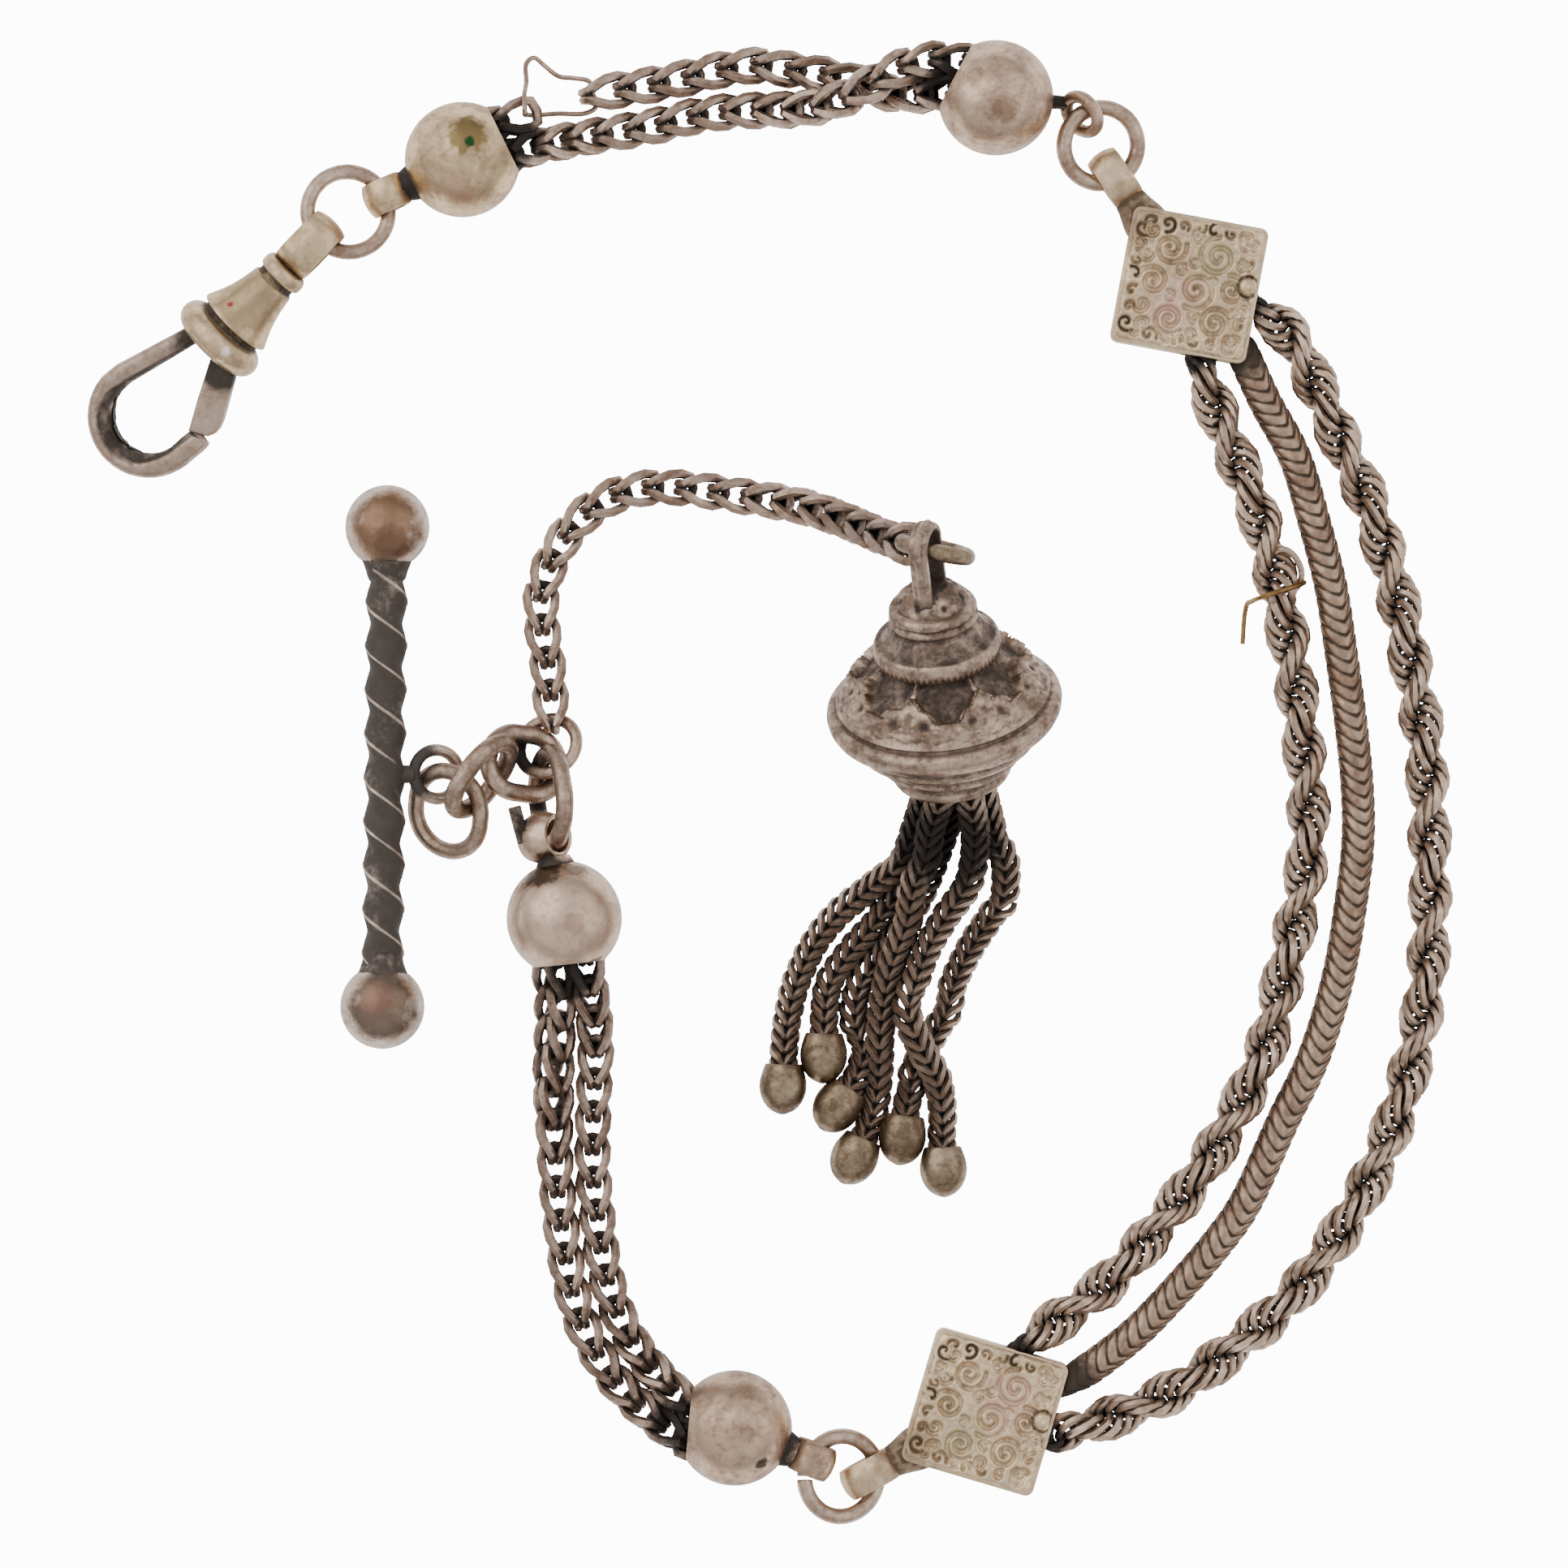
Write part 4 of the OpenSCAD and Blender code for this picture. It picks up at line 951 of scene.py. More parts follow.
def makeSlide(name, node, at, turn, ends, seed, pictureTurn):
    values = slideValues
    base = along(*at) @ headed(turn)
    inner = base @ headed(45 + pictureTurn)
    body = block((values["side"], values["side"], values["thick"]))
    upright = [e for e in body.edges if abs(e.verts[0].co.z - e.verts[1].co.z) > 1]
    bmesh.ops.bevel(body, geom=upright, offset=values["corner"], affect="EDGES", segments=4, profile=0.5,
                    material=-1)
    flat = [e for e in body.edges if abs(e.verts[0].co.z - e.verts[1].co.z) < 1]
    bmesh.ops.bevel(body, geom=flat, offset=0.08, affect="EDGES", segments=3, profile=0.5, material=-1)
    body.transform(inner)
    core = pocketed(body, ends)
    top = engravedPlate(seed)
    top.transform(inner @ along(0, 0, 1.6))
    bottom = engravedPlate(seed + 5)
    bottom.transform(inner @ Matrix.Rotation(math.pi, 4, "X") @ along(0, 0, 1.6))
    bail = domedStrap(0.8, 2.0, matrix=base @ along(8.05, 0, 0.15), stretch=0.55)
    footShape = [
        (0, 0), (1.42, 0), (1.36, 0.4), (1.22, 0.9), (1.08, 1.4), (0.98, 1.9), (0.93, 2.35), (0, 2.35),
    ]
    foot = darkened(turned(footShape, 40, base @ along(4.65) @ sideways), 0.42)
    makePiece(name, [core, top, bottom, bail, foot], slideMetal, node, reach=0.5, rays=8)


makeSlide("slide-upper-engraved", "slide_upper", (25.85, 30.6, 1.6), 124.5,
          [routeInner[:2], routeSnake[:2], routeOuter[:2]], 1.3, 180)
makeSlide("slide-lower-engraved", "slide_lower", (13.25, -38.75, 1.6), 208.5,
          [routeInner[:-3:-1], routeSnake[:-3:-1], routeOuter[:-3:-1]], 7.7, 90)
print("slides made")


# Dog clip: turned body, bent hook, gate, pin and swivelling eye

clipValues = {"bend": (-6.6, -0.25), "bendRadius": 3.05, "hook": (1.35, 1.9), "pin": (-0.28, -1.0),
              "gateReach": 5.46, "gateThick": 1.24, "gateTurn": 207}
clipFrame = turnedBy((-33.8, 27.3, 2.97), 45, 11, 0)
clipMetal = makeMetal("clipSilver", (0.71, 0.52, 0.325), (0.36, 0.26, 0.155), brownShadeGrime, patches=0.7, spots=[
    # the first spot is a painted highlight: a bright oval on the collar
    (clipFrame @ Vector((0.22, -1.0, 2.72)), 0.36, (0.88, 0.8, 0.66), 0.8),
    (clipFrame @ Vector((3.2, 0.2, 1.6)), 2.2, (0.33, 0.232, 0.13), 0.75),
    (clipFrame @ Vector((2.4, 0.92, 1.9)), 0.26, (0.3, 0.05, 0.045), 1.0),
])
hookMetal = makeMetal("hookSilver", (0.48, 0.36, 0.285), (0.26, 0.18, 0.135), (0.05, 0.038, 0.03),
                      patches=0.7)
pinMetal = makeMetal("pinSilver", (0.86, 0.78, 0.66), (0.6, 0.5, 0.4), patches=0.2)


def makeClipBody():
    profile = [(0.65, 6.25), (0.65, 3.2), (1.2, 3.2), (1.2, 0.7), (1.9, 0.7), (1.9, -0.885)]
    for i in range(19):
        a = math.radians(-99 + 177 * i / 18)
        profile.append((2.05 + 0.9 * math.cos(a), 0.9 * math.sin(a)))
    profile += [
        (2.13, 0.95), (2.07, 1.06), (2.07, 1.2), (2.15, 1.3), (2.32, 1.35), (2.4, 1.4), (2.41, 1.48),
        (2.32, 1.66), (2.15, 2.05), (1.95, 2.52), (1.75, 3.12), (1.6, 3.72), (1.5, 4.3), (1.42, 4.78),
        (1.36, 4.87), (1.27, 4.93), (1.24, 5.05), (1.24, 5.22), (1.3, 5.3), (1.42, 5.36), (1.48, 5.46),
        (1.5, 5.68), (1.48, 5.9), (1.4, 6.1), (1.28, 6.2), (1.0, 6.25),
    ]
    grooves = [((1.12, 0, 0), 0.34, 0.75), ((5.13, 0, 0), 0.32, 0.8), ((6.4, 0, 0), 0.25, 0.8)]
    inverse = clipFrame.inverted()

    def grooveDark(p):
        # brown in the two turned grooves and round the eye's end
        return near(Vector(((inverse @ p).x, 0, 0)), grooves)

    body = turned(profile, 80, clipFrame @ sideways, closed=True)
    makePiece("clip-body-turned", [body], clipMetal, "clip_body", "clip", reach=1.0,
              shade=grooveDark)


def makeHook():
    values = clipValues
    bendX, bendY = values["bend"]
    radius = values["bendRadius"]
    angles = [math.radians(a) for a in range(94, 271, 8)]
    arc = [(bendX + radius * math.cos(a), bendY + radius * math.sin(a)) for a in angles]
    path = [(0.35, 0.95), (-0.5, 1.15), (-1.3, 1.42), (-3.0, 1.9), (-4.6, 2.36), (-5.8, 2.7)] + arc
    path += [(-6.3, -3.32), (-6.05, -3.35), (-5.8, -3.38), (-5.6, -3.4), (-5.4, -3.42), (-5.2, -3.44)]
    radii = [0.68, 0.78, 0.88, 0.95, 1.0, 1.06] + [1.1] * len(arc) + [1.12, 1.12, 1.12, 1.1, 1.06, 1.0]
    hook = band(path, *values["hook"], radii=radii, power=3.2)
    mark = marks(hook)
    pin = Vector((*values["pin"], 0))
    for vert in hook.verts:
        # the inner face slopes, most beside the far end of the bend, and is darkened as painted shade
        x, y, z = vert.co
        bend = Vector((x - bendX, y - bendY, 0))
        far = max(0.0, (0.43 * bend.y - 0.9 * bend.x) / bend.length) ** 1.5
        closest = Vector((*min(path, key=lambda q: (q[0] - x) ** 2 + (q[1] - y) ** 2), 0))
        inward = Vector((-4.6, -0.9, 0)) - closest
        offset = (Vector((x, y, 0)) - closest).dot(inward.normalized())
        fold = 0.32 - 0.62 * far
        slope = max(0.0, min(1.0, (offset - fold) / (0.7 - fold)))
        if z > 0:
            vert.co.z -= (0.3 + 1.0 * far) * slope
        vert[mark] = (0.56 + 0.34 * noise.noise(vert.co * 1.5)) * min(1.0, slope * 4)
        reach = Vector((x, y, 0)) - pin
        if x > bendX and y < -2 and reach.length < values["gateReach"]:
            # the tip stays clear of the gate as it turns
            vert.co.x, vert.co.y = (pin + reach.normalized() * values["gateReach"]).xy
            vert[mark] = 0.45
    hook.transform(clipFrame)
    speckled = [
        (clipFrame @ Vector((-1.0, 1.3, 0.9)), 1.5, 0.7), (clipFrame @ Vector((-2.6, 1.6, 0.9)), 0.7, 0.36),
    ]
    makePiece("clip-hook-bent", [hook], hookMetal, "clip_hook", "clip", dark=speckled)


def makeGate():
    values = clipValues
    thick = values["gateThick"]
    outline = [
        (-0.45, -0.34), (0.25, -0.36), (0.36, -0.5), (0.42, -0.75), (0.6, -0.86), (3.2, -0.9),
        (5.3, -0.86), (5.33, -0.2), (5.25, 0.4), (5.0, 0.72), (4.6, 0.9), (4.1, 0.96), (3.2, 0.95),
        (1.3, 0.88), (1.12, 0.8), (1.02, 0.6), (0.9, 0.36), (-0.45, 0.34),
    ]
    gate = bmesh.new()
    face = gate.faces.new([gate.verts.new((s, w, -thick / 2)) for s, w in outline])
    raised = vertsIn(bmesh.ops.extrude_face_region(gate, geom=[face])["geom"])
    bmesh.ops.translate(gate, verts=raised, vec=(0, 0, thick))
    flat = [e for e in gate.edges if abs(e.verts[0].co.z - e.verts[1].co.z) < 0.1]
    bmesh.ops.bevel(gate, geom=flat, offset=0.14, affect="EDGES", segments=3, profile=0.5, material=-1)
    bmesh.ops.triangulate(gate, faces=[f for f in gate.faces if len(f.verts) > 4])
    long = [e for e in gate.edges if e.calc_length() > 0.6]
    bmesh.ops.subdivide_edges(gate, edges=long, cuts=3, use_grid_fill=True)
    bmesh.ops.recalc_face_normals(gate, faces=gate.faces)
    gate.transform(clipFrame @ along(*values["pin"]) @ headed(values["gateTurn"]))
    # painted shadow on the gate's root
    dark = [(clipFrame @ Vector((-1.2, -1.5, 0.5)), 1.7, 1.0)]
    makePiece("clip-gate-worn", [gate], hookMetal, "clip_gate", "gate", reach=0.8, dark=dark)


def makeClipEye():
    shoulder = [(0, 0), (1.0, 0), (1.05, 0.12), (0.98, 0.3), (0.9, 0.5), (0, 0.5)]
    makePiece("clip-eye-domed", [
        domedStrap(1.05, 2.35, matrix=clipFrame @ along(8.15), stretch=0.55),
        turned(shoulder, 40, clipFrame @ along(6.4) @ sideways),
        cone(0.6, 0.6, 4.2, clipFrame @ along(2.6) @ sideways),
        cone(1.05, 1.05, 0.6, clipFrame @ along(2.3) @ sideways),
    ], clipMetal, "clip_eye", reach=0.9)


makeClipBody()
makeHook()
makeGate()
makePiece("clip-pin-worn", [nodeCopy("clip_gate_pin")], pinMetal, "clip_gate_pin", "clip", reach=0.8)
makeClipEye()
print("clip made")


# T-bar: twisted stem, two balls and an eye

barValues = {"length": 29.5, "stem": 25.5, "ball": 2.6, "twist": 5.4, "steps": 260, "edge": 0.1, "dark": 0.66}
barMetal = makeMetal(
    "barSilver", (0.62, 0.5, 0.42), (0.3, 0.2, 0.14), (0.062, 0.048, 0.04), patches=0.6,
    spots=[((-23.5, 15.7, 5.2), 2.6, (0.22, 0.12, 0.065), 0.88),
           ((-23.2, 14.6, 5.0), 1.3, (0.13, 0.07, 0.045), 0.6),
           ((-23.8, -13.8, 5.2), 2.6, (0.13, 0.085, 0.06), 0.85),
           ((-24.0, -13.2, 5.2), 1.2, (0.24, 0.13, 0.09), 0.6)],
)
solderShape = [(0.95, -1.2), (1.12, -1.05), (1.22, -0.8), (1.3, -0.5), (1.4, -0.2), (1.5, 0.05), (1.6, 0.3),
               (1.5, 0.5), (0.6, 0.5), (0.6, -1.0)]


def onEdge(turn):
    # 1 on the two edges of the stem, falling to 0 on its faces
    fromEdge = math.acos(min(1.0, abs(math.cos(turn))))
    return math.exp(-(fromEdge / barValues["edge"]) ** 2)


def twistedStem():
    values = barValues
    length = values["stem"]
    turns = length / values["twist"]
    bm = bmesh.new()
    bmesh.ops.create_circle(bm, segments=72, radius=1)
    for vert in bm.verts:
        a = math.atan2(vert.co.y, vert.co.x)
        r = 1.0 + 0.27 * abs(math.cos(a)) ** 2 + 0.06 * onEdge(a)
        vert.co = Vector((r * math.cos(a), r * math.sin(a), 0))
    bmesh.ops.spin(
        bm, geom=list(bm.verts) + list(bm.edges), cent=(0, 0, 0), axis=(0, 0, 1), angle=-fullTurn * turns,
        dvec=(0, 0, length / values["steps"]), steps=values["steps"], use_merge=False,
    )
    closeHoles(bm)
    mark = marks(bm)
    for vert in bm.verts:
        # dark oxide on the faces; the edges are left bright as a painted highlight
        turn = math.atan2(vert.co.y, vert.co.x) + fullTurn * vert.co.z / values["twist"]
        cloud = 0.3 * noise.noise(Vector((vert.co.x, vert.co.y, vert.co.z * 0.4)) * 0.7)
        vert[mark] = (values["dark"] + cloud) * (1 - onEdge(turn))
    return bm


def solderJoint(side):
    joint = turned(solderShape, 48, closed=True)
    mark = marks(joint)
    for vert in joint.verts:
        rough = noise.noise(vert.co * 2.2 + Vector((side * 5, 0, 0)))
        vert.co.x *= 1 + 0.06 * rough
        vert.co.y *= 1 + 0.06 * rough
        vert.co.z += 0.15 * rough
        vert[mark] = 0.6 + 0.2 * rough
    return joint


def makeBar():
    values = barValues
    half = values["length"] / 2
    base = along(-23.65, 0.95, 2.6) @ headed(89.4)
    stem = twistedStem()
    stem.transform(base @ along(-values["stem"] / 2) @ sideways)
    parts = [stem]
    for side in (-1, 1):
        ball = bmesh.new()
        bmesh.ops.create_uvsphere(ball, u_segments=56, v_segments=28, radius=values["ball"],
                                  matrix=base @ along(side * half))
        joint = solderJoint(side)
        joint.transform(base @ headed(90 - 90 * side) @ along(half - 2.2) @ sideways)
        parts += [ball, joint]
    parts.append(cone(0.6, 0.55, 1.75, along(-23.6, 0.5, 2.6) @ sideways))
    parts.append(roundRing(1.5, 0.38, 44, turnedBy((-20.48, 0.5, 1.98), 0, -23.2, -3)))
    dark = [((-22.0, 0.8, 2.4), 2.5, 1.0), ((-23.7, -11.6, 4.4), 1.5, 0.6), ((-23.7, 13.4, 4.4), 1.3, 0.6)]
    makePiece("bar-twisted", parts, barMetal, "t_bar", reach=1.0, dark=dark, sharp=30)


makeBar()
print("T-bar made")


# Tassel: turned and cast cap with its bail, fine strands and domed tips

def capTurn(z, rise):
    return turnedBy((10.7, 4.75, z), 97.5, rise - 90, 0)


capFrame = capTurn(6.33, 32)
archFrame = capTurn(5.93, 37)
capValues = {"lobes": 7, "steps": 448, "depth": 0.5, "rim": 0.82, "top": 3.73}
capMetal = makeMetal("capSilver", (0.5, 0.37, 0.285), (0.2, 0.135, 0.1), (0.05, 0.033, 0.025), scale=700,
                     patches=0.95)
recessStops = [  # height on the dome, half width of a recess
    (0.44, 0.0), (0.455, 0.2), (0.52, 0.26), (0.575, 0.33), (0.615, 0.43), (0.64, 0.6), (0.71, 0.69),
    (0.75, 0.8), (0.84, 0.9), (1.0, 0.93),
]


def capPoint(r, angle, t):
    a = math.radians(angle)
    return capFrame @ Vector((r * math.cos(a), r * math.sin(a), t))


def recessWidth(v):
    if v <= recessStops[0][0]:
        return -0.3
    for (a, wa), (b, wb) in zip(recessStops, recessStops[1:]):
        if v <= b:
            return wa + (wb - wa) * (v - a) / (b - a)
    return recessStops[-1][1]


def bump(x, width):
    return math.exp(-(x / width) ** 2)


def domeRelief(u, v):
    # height and darkness of the cast ornament: u runs -1..1 across a lobe, v 0..1 from rim to collar
    side = abs(u)
    gap = side - recessWidth(v)
    inside = max(0.0, min(1.0, 0.5 - gap / 0.08))
    outline = bump(gap - 0.08, 0.06) * (0.45 < v < 0.8)
    lip = bump(v - 0.42, 0.025) * (side < 0.24)
    hollow = bump(math.hypot((side - 0.6) / 1.9, v - 0.41), 0.085)
    pit = bump(math.hypot((side - 0.97) / 1.6, v - 0.55), 0.05)
    curl = bump(math.hypot((side - 0.3) / 2.0, v - 0.3), 0.045)
    curl += bump(math.hypot((side - 0.85) / 1.6, v - 0.33), 0.05)
    curl += bump(math.hypot((side - 0.6) / 2.2, v - 0.22), 0.04)
    wave = bump(v - 0.13 - 0.03 * math.cos(3 * math.pi * u), 0.02)
    height = -inside + 0.6 * outline + 0.35 * lip - 0.5 * hollow - 0.3 * pit
    height += 0.26 * min(1.0, curl) - 0.15 * wave
    dark = max(0.5 * inside, 0.62 * hollow, 0.5 * pit, 0.3 * wave)
    # darker towards the collar: painted shadow under the serrated ring
    if v > 0.8:
        dark = max(dark, 0.4 * min(1.0, (v - 0.8) / 0.06))
    return height, dark * (1 - outline)


def capProfile():
    rim, top = capValues["rim"], capValues["top"]
    profile = [
        (0.0, -1.4), (2.6, -1.4), (2.6, -5.05), (2.95, -5.08), (3.3, -5.05), (3.55, -4.92), (3.68, -4.7),
        (3.7, -4.45), (3.62, -4.25), (3.6, -4.1), (3.75, -3.98), (4.1, -3.8), (4.4, -3.55), (4.52, -3.3),
        (4.52, -3.1), (4.45, -2.98), (4.5, -2.85), (4.8, -2.72), (5.3, -2.5), (5.6, -2.25), (5.72, -2.0),
        (5.7, -1.8), (5.6, -1.66), (5.62, -1.52), (5.9, -1.4), (6.3, -1.25), (6.7, -1.02), (7.0, -0.75),
        (7.18, -0.42), (7.25, -0.05), (7.2, 0.22), (7.02, 0.42), (6.8, 0.52), (6.66, 0.52), (6.56, 0.55),
        (6.53, 0.65), (6.56, 0.76), (6.6, rim),
    ]
    for i in range(1, 49):
        t = i / 48
        profile.append((6.6 + (3.72 - 6.6) * t + 0.28 * math.sin(math.pi * t), rim + (top - rim) * t))
    profile += [
        (3.72, 3.77), (3.84, 3.82), (3.9, 3.95), (3.9, 4.2), (3.9, 4.45), (3.88, 4.7), (3.8, 4.88),
        (3.66, 4.98), (3.5, 5.02),
    ]
    for i in range(1, 13):
        t = i / 12
        profile.append((3.5 - 1.02 * t - 0.12 * math.sin(math.pi * t), 5.02 + 1.08 * t))
    return profile + [
        (2.52, 6.12), (2.66, 6.2), (2.74, 6.35), (2.72, 6.5), (2.6, 6.6), (2.54, 6.68), (2.6, 6.78),
        (2.72, 6.9), (2.7, 7.1), (2.6, 7.25), (2.45, 7.35), (2.3, 7.38), (2.2, 7.42), (2.22, 7.52),
        (2.2, 7.65), (2.16, 7.75), (2.1, 7.85), (2.02, 7.95), (1.92, 8.05), (1.78, 8.18), (1.6, 8.3),
        (1.2, 8.5), (0.7, 8.65), (0.0, 8.7),
    ]


def capBody():
    values = capValues
    rim, top, lobes = values["rim"], values["top"], values["lobes"]
    bm = turned(capProfile(), values["steps"])
    mark = marks(bm)
    for vert in bm.verts:
        x, y, z = vert.co
        radius = math.hypot(x, y)
        if radius < 0.5:
            continue
        angle = math.atan2(y, x)
        out = Vector((x / radius, y / radius, 0))
        part = angle / fullTurn * lobes % 1.0
        cloud = 0.2 * noise.noise(vert.co * 0.8)
        rough = noise.noise(vert.co * 2.4)
        if 0.8 < z < top + 0.02 and radius > 3.0:
            v = (z - rim) / (top - rim)
            height, dark = domeRelief(2 * part - 1, v)
            normal = (out + Vector((0, 0, 0.8))).normalized()
            vert.co += normal * (values["depth"] * height + 0.05 * rough * (v > 0.06))
            vert[mark] = max(dark, 0.15) + 0.7 * cloud
        elif top + 0.03 < z < 4.9 and radius > 3.7:
            tooth = 0.5 + 0.5 * math.cos(angle * 64)
            low = bump(z - 3.85, 0.16)
            vert.co -= out * 0.18 * tooth * low
            vert[mark] = 0.5 * tooth * low
        elif 4.95 <= z < 6.11:
            vert[mark] = 0.33 + 1.2 * cloud + 0.15 * bump(z - 6.0, 0.15) + 0.15 * bump(z - 5.05, 0.12)
        elif 6.11 <= z < 7.4:
            vert.co += out * 0.04 * rough
            vert[mark] = 0.16 + 0.9 * cloud + 0.2 * rough + 0.25 * bump(z - 6.68, 0.1)
        elif 7.4 <= z < 8.6:
            niche = max(0.0, math.cos(angle * 7 + 0.6)) ** 1.5 * bump(z - 7.85, 0.26)
            vert.co -= out * 0.3 * niche
            vert[mark] = max(0.3, 0.66 * niche) + cloud + 0.2 * rough
        elif 0.5 < z <= 0.8 and radius < 6.7:
            vert[mark] = 0.38 + cloud
        elif -4.35 < z < -4.0 or -3.15 < z < -2.8 or -1.8 < z < -1.45:
            vert[mark] = 0.4
    bm.transform(capFrame)
    return bm


def capArch(turn):
    # the bail on the cap, a flat arch
    foot = [(1.2, 11.8), (1.2, 11.4), (1.2, 10.4), (1.2, 9.2), (1.2, 8.0)]
    angles = [math.radians(a) for a in range(0, 181, 12)]
    path = [(-x, z) for x, z in foot[::-1]]
    path += [(-1.2 * math.cos(a), 12.1 + 1.2 * math.sin(a)) for a in angles] + foot
    arch = band(path, 0.6, 1.15, turn @ Matrix.Rotation(math.pi / 2, 4, "X"))
    mark = marks(arch)
    back = turn.inverted()
    for vert in arch.verts:
        # a raised middle rib; inside the arch and at its feet the colour is darkened as painted shade
        local = back @ vert.co
        middle = Vector((0, 0, 12.1)) if local.z > 12.1 else Vector((0, 0, local.z))
        away = Vector((local.x, 0, local.z)) - middle
        rough = noise.noise(vert.co * 1.8)
        if away.length > 1.25:
            vert.co += (turn @ away.normalized()) * 0.12 * bump(local.y, 0.14)
            vert[mark] = 0.34 * bump(abs(local.y) - 0.3, 0.12) + 0.25 * rough
        elif away.length < 1.1:
            vert[mark] = 0.6
        if local.z < 9.6:
            vert[mark] = max(vert[mark], 0.5 * (9.6 - local.z))
    arch.transform(archFrame)
    return arch


def makeCap():
    turn = headed(-25)
    root = darkened(block((2.6, 1.3, 0.9), turn @ along(0, 0, 8.5), soft=0.25), 0.5)
    root.transform(archFrame)
    # painted shade on the knob's top under the arch's root
    dark = [(capFrame @ Vector((0, 0, 8.9)), 1.1, 0.8)]
    makePiece("cap-cast", [capBody(), capArch(turn), root], capMetal, "tassel_cap", reach=1.3, dark=dark,
              sharp=50)


makeCap()

strandAngles = [90, 30, -30, 150, -90, -150]
tasselRoutes = [
    [(9.1, -2.4, 2.3), (7.9, -5.1, 1.6), (6.1, -6.6, 1.0), (4.1, -8.3, 0.85), (2.6, -10.3, 0.85),
     (1.6, -12.6, 0.85), (1.1, -14.8, 0.85), (0.9, -16.8, 1.1), (0.85, -18.3, 1.35)],
    [(9.9, -3.0, 1.1), (8.7, -5.8, 0.9), (6.7, -8.5, 0.85), (4.9, -10.6, 0.85), (3.7, -12.6, 0.85),
     (3.4, -14.4, 1.1), (3.35, -16.4, 1.35)],
    [(10.6, -3.6, 0.9), (9.1, -7.3, 0.85), (7.1, -10.4, 0.85), (5.6, -12.6, 0.85), (5.3, -14.8, 0.9),
     (5.75, -16.8, 1.0), (5.25, -18.3, 1.1), (4.4, -19.6, 1.35)],
    [(9.9, -3.0, 3.3), (9.5, -5.0, 2.9), (8.8, -6.8, 2.5), (8.4, -8.8, 2.2), (7.5, -11.3, 1.9),
     (7.0, -13.8, 1.6), (6.8, -16.0, 1.4), (6.7, -18.2, 1.0), (6.4, -20.3, 0.9), (5.95, -21.6, 1.1),
     (5.4, -22.75, 1.35)],
    [(13.9, -3.6, 2.0), (14.5, -5.4, 1.4), (14.2, -7.5, 0.9), (13.3, -8.8, 0.85), (12.2, -10.6, 0.85),
     (11.3, -12.6, 0.85), (10.8, -14.4, 0.85), (10.0, -15.8, 0.85), (8.9, -18.0, 0.85), (8.6, -19.5, 0.9),
     (8.4, -20.4, 1.1), (8.25, -21.45, 1.35)],
    [(12.6, -3.6, 3.2), (12.1, -6.3, 2.6), (10.6, -8.7, 2.3), (9.6, -10.6, 2.3), (8.9, -12.6, 2.4),
     (8.6, -14.0, 2.5), (8.9, -15.4, 2.6), (9.7, -17.1, 2.1), (10.4, -18.7, 1.5), (10.65, -20.6, 1.1),
     (10.65, -22.2, 1.1), (10.7, -23.4, 1.35)],
]
tasselValues = {"pitch": 0.85, "wire": 0.25, "half": 0.68, "core": 0.3, "rootRadius": 1.6}
tasselMetal = makeMetal("tasselSilver", (0.47, 0.36, 0.285), (0.24, 0.16, 0.115), patches=0.75)


def herringboneLink():
    half = tasselValues["half"]
    right = [
        (0.0, 0.09, 0.56), (-0.45, 0.36, 0.56), (-0.85, half, 0.36), (-1.2, half + 0.02, 0.1),
        (-1.42, half - 0.08, 0.0),
    ]
    path = right + [(x, y, -z) for x, y, z in right[3::-1]]
    path += [(x, -y, -z) for x, y, z in right[:4]]
    path += [(x, -y, z) for x, y, z in right[:0:-1]]
    return path + [(0.0, -0.09, 0.56)]


def makeTassel():
    values = tasselValues
    link = [Vector(p) for p in herringboneLink()]
    paths = []
    cores = []
    for angle, route in zip(strandAngles, tasselRoutes):
        whole = [tuple(capPoint(values["rootRadius"], angle, t)) for t in (-3.8, -5.3)] + route
        for point, way in stations(whole, values["pitch"])[0][1:]:
            matrix = levelFrame(point, way)
            paths.append([matrix @ p for p in link])
        cores.append(wires([smoothed(whole, 3)], values["core"], closed=False))
    plug = cone(2.45, 2.45, 1.4, capFrame @ along(0, 0, -4.4), 48)
    # painted shade at the strands' roots under the cap
    makePiece("tassel-strands-woven", [wires(paths, values["wire"], sides=0), plug] + cores, tasselMetal,
              "tassel_strands", reach=0.9, rays=10, dark=[((11.0, -3.4, 2.0), 4.5, 1.0)])


makeTassel()
tipShape = [  # radius and height of a tip, from its mouth
    (0.0, 0.2), (0.9, 0.2), (1.0, 0.02), (1.1, 0.0), (1.18, 0.1), (1.26, 0.35), (1.37, 0.7), (1.44, 1.05),
    (1.46, 1.35), (1.43, 1.7), (1.33, 2.05), (1.16, 2.4), (0.92, 2.7), (0.66, 2.9), (0.4, 3.02), (0.2, 3.1),
    (0.0, 3.12),
]


def makeTip(number, route):
    last, before = Vector(route[-1]), Vector(route[-2])
    way = Vector((last.x - before.x, last.y - before.y, 0)).normalized()
    start = Vector((last.x, last.y, 1.46)) - 0.95 * way
    # painted shade at the tip's mouth where the strand goes in, and a small dark spot at its far end
    dark = [(start, 0.9, 0.9), (start + 3.12 * way + 0.2 * up, 0.32, 0.5)]
    makePiece("tip-domed-%d" % number, [turned(tipShape, 48, aimed(start, way))], tipMetal, "tip_%d" % number,
              reach=1.2, rays=16, dark=dark)


for tipNumber, tipRoute in enumerate(tasselRoutes, 1):
    makeTip(tipNumber, tipRoute)
print("tassel made")


# Repairs: a thin silver wire at the broken strand and a brass wire over the inner rope

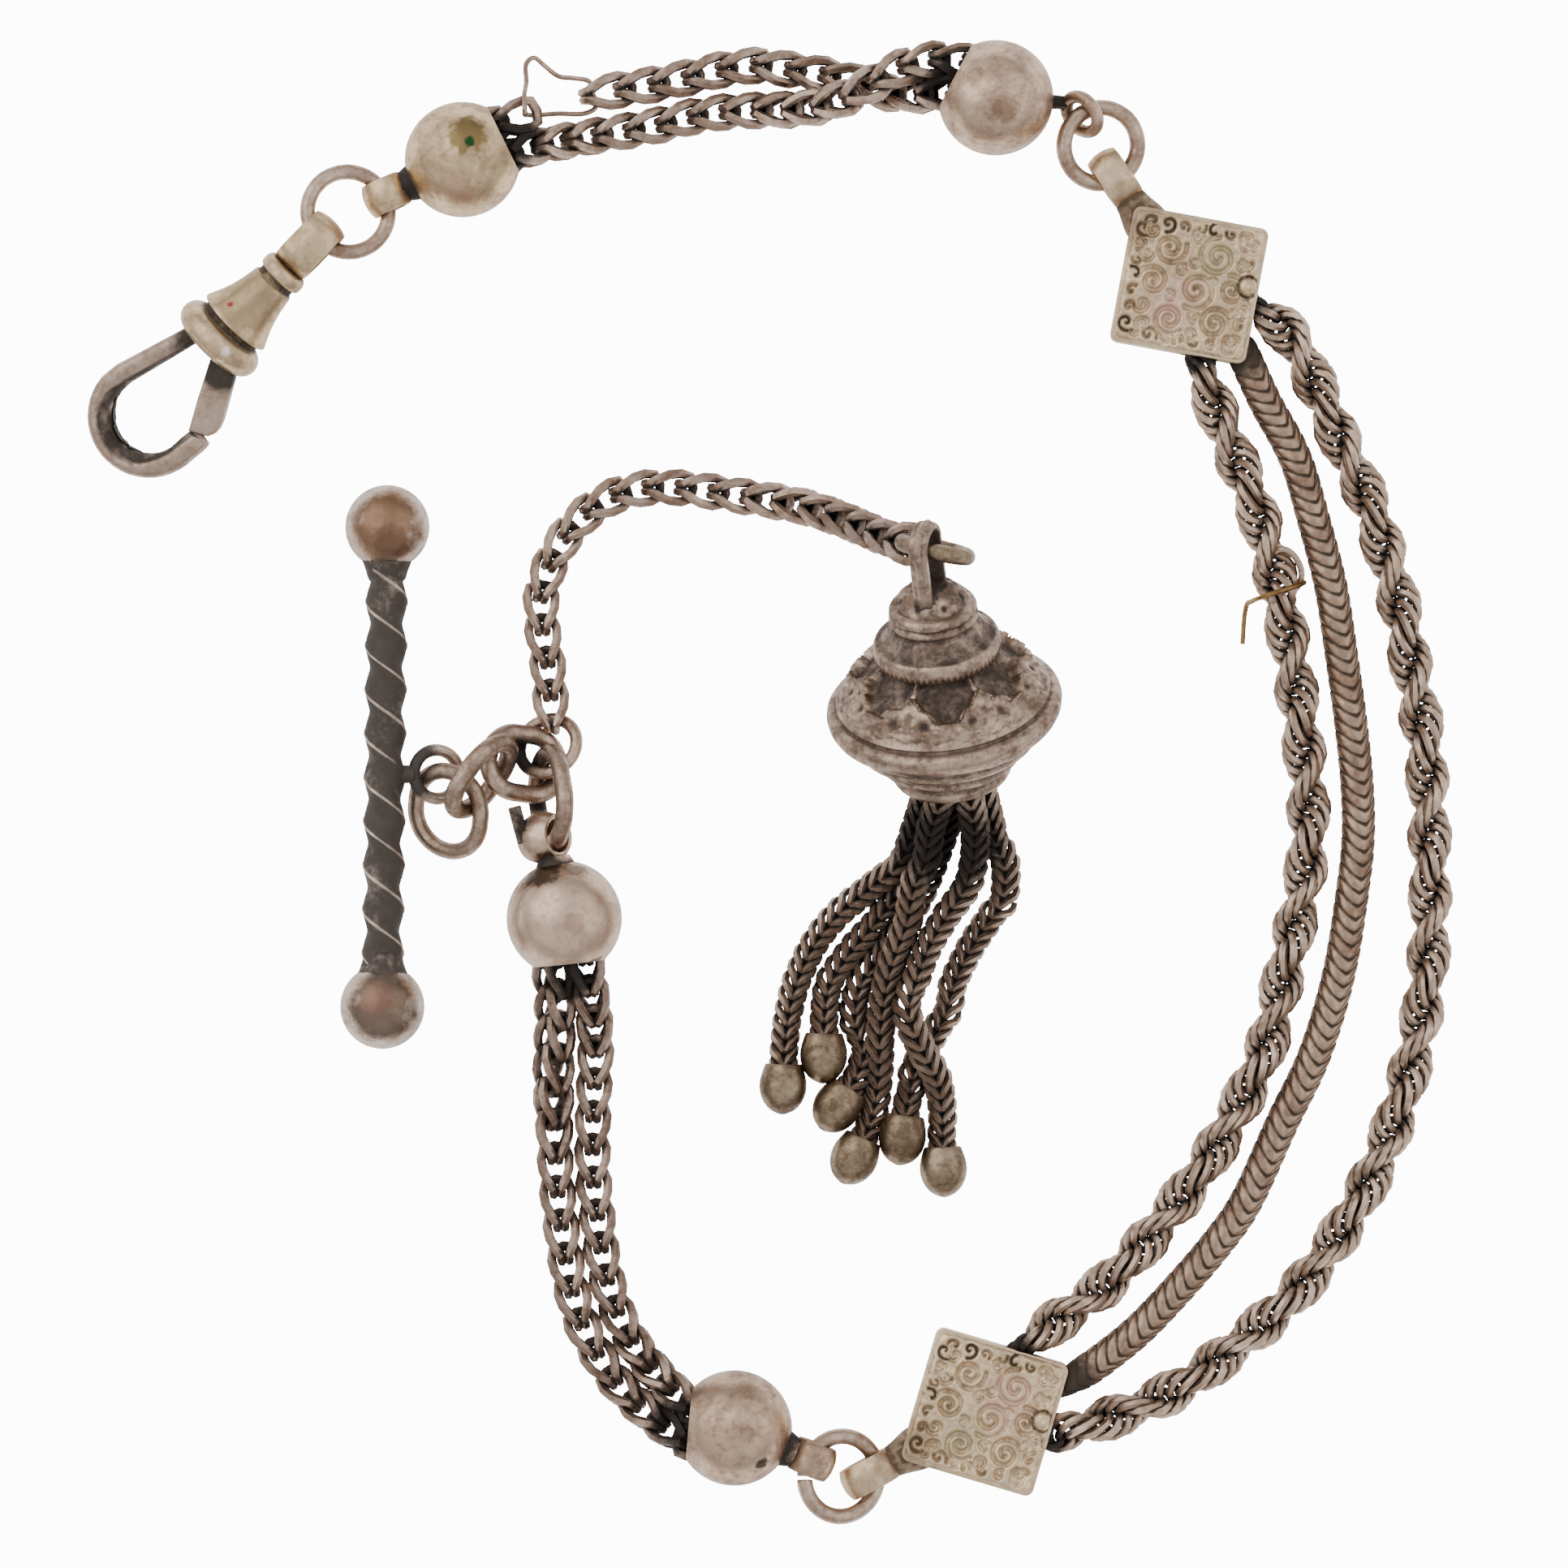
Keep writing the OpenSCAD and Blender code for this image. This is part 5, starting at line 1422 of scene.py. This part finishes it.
repairPath = [
    (-15.0, 41.1, 2.1), (-15.0, 41.1, 4.0), (-15.05, 42.2, 3.7), (-14.95, 43.1, 2.5), (-15.0, 44.2, 1.7),
    (-14.5, 44.65, 1.4), (-13.9, 44.2, 1.4), (-13.0, 43.5, 1.6), (-12.0, 43.4, 1.2), (-11.1, 43.2, 1.1),
    (-10.86, 42.38, 1.1), (-10.72, 41.6, 1.1), (-11.5, 41.2, 1.3), (-13.0, 41.2, 1.5), (-14.3, 41.1, 1.6),
]
makePiece("repair-wire-bent", [wires([smoothed(repairPath, 4, closed=True)], 0.16, sides=2)], chainMetal,
          "repair_wire", reach=0.5)

brassMetal = makeMetal("bindingBrass", (0.36, 0.22, 0.08), (0.16, 0.09, 0.035), patches=0.7)
across = Vector((0.976, 0.22, 0))
bindingPath = []
for degrees in range(-30, 179, 26):
    about = math.cos(math.radians(degrees)) * across + math.sin(math.radians(degrees)) * up
    drift = Vector((0.1, -0.45, 0)) * degrees / 180
    bindingPath.append(Vector((31.27, 11.95, 1.5)) + 1.72 * about + drift)
bindingPath += [(29.45, 11.0, 1.1), (29.3, 10.2, 0.6), (29.2, 8.55, 0.35)]
makePiece("binding-brass", [wires([smoothed(bindingPath, 4)], 0.16, sides=2, closed=False)], brassMetal,
          "repair_binding", reach=0.5)

brokenRing = [
    (30.75, 14.0, 1.9), (31.6, 14.35, 2.1), (32.3, 13.95, 2.0), (32.75, 13.1, 1.8), (32.7, 12.3, 1.6),
    (32.35, 11.85, 1.5),
]
makePiece("rope-broken-ring", [wires([smoothed(brokenRing, 4)], 0.2, sides=2, closed=False)], ropeMetal,
          reach=0.5)
print("repairs made")


# Floor, light and camera

stageValues = {"floorLight": 0.6, "floorSeen": 12.0, "sky": 0.97, "horizon": 0.13, "horizonTop": 0.42,
               "lens": 250, "sensor": 36, "seenWidth": 0.0966}


def makeFloor():
    bm = bmesh.new()
    bmesh.ops.create_grid(bm, x_segments=1, y_segments=1, size=1.5)
    mesh = bpy.data.meshes.new("floor")
    bm.to_mesh(mesh)
    bm.free()
    material = bpy.data.materials.new("paleFloor")
    material.use_nodes = True
    tree = material.node_tree
    shader = tree.nodes["Principled BSDF"]
    shader.inputs["Base Color"].default_value = (0.9, 0.9, 0.9, 1)
    shader.inputs["Roughness"].default_value = 0.9
    shader.inputs["Specular IOR Level"].default_value = 0.0
    shader.inputs["Emission Color"].default_value = (1, 1, 1, 1)
    seen = tree.nodes.new("ShaderNodeLightPath").outputs["Is Camera Ray"]
    glow = spread(tree, seen, 0.0, 1.0, stageValues["floorLight"], stageValues["floorSeen"])
    tree.links.new(glow, shader.inputs["Emission Strength"])
    mesh.materials.append(material)
    linked("floor", mesh)


def makeLight(name, at, size, power):
    data = bpy.data.lights.new(name, "AREA")
    data.shape = "RECTANGLE"
    data.size, data.size_y = size
    data.energy = power
    light = linked(name, data)
    light.location = at
    light.rotation_euler = (-Vector(at)).to_track_quat("-Z", "Y").to_euler()


def makeSky():
    # bright above, dimmer at the horizon
    world = bpy.data.worlds.new("studio")
    world.use_nodes = True
    tree = world.node_tree
    split = tree.nodes.new("ShaderNodeSeparateXYZ")
    tree.links.new(tree.nodes.new("ShaderNodeTexCoord").outputs["Generated"], split.inputs[0])
    strength = spread(tree, split.outputs["Z"], 0.0, stageValues["horizonTop"], stageValues["horizon"],
                      stageValues["sky"])
    tree.links.new(strength, tree.nodes["Background"].inputs["Strength"])
    tree.nodes["Background"].inputs["Color"].default_value = (1, 1, 1, 1)
    bpy.context.scene.world = world


def makeCamera():
    # looks straight down from far off
    values = stageValues
    data = bpy.data.cameras.new("topCamera")
    data.lens = values["lens"]
    data.sensor_width = values["sensor"]
    data.clip_start = 0.01
    camera = linked("topCamera", data)
    camera.location = (0.0009, -0.0001, values["seenWidth"] * values["lens"] / values["sensor"] + 0.0015)
    bpy.context.scene.camera = camera


makeFloor()
makeLight("softLeft", (-0.45, 0.35, 0.5), (0.9, 0.9), 2.4)
makeLight("softRight", (0.55, 0.1, 0.4), (0.9, 0.9), 1.2)
makeSky()
makeCamera()
print("stage made")
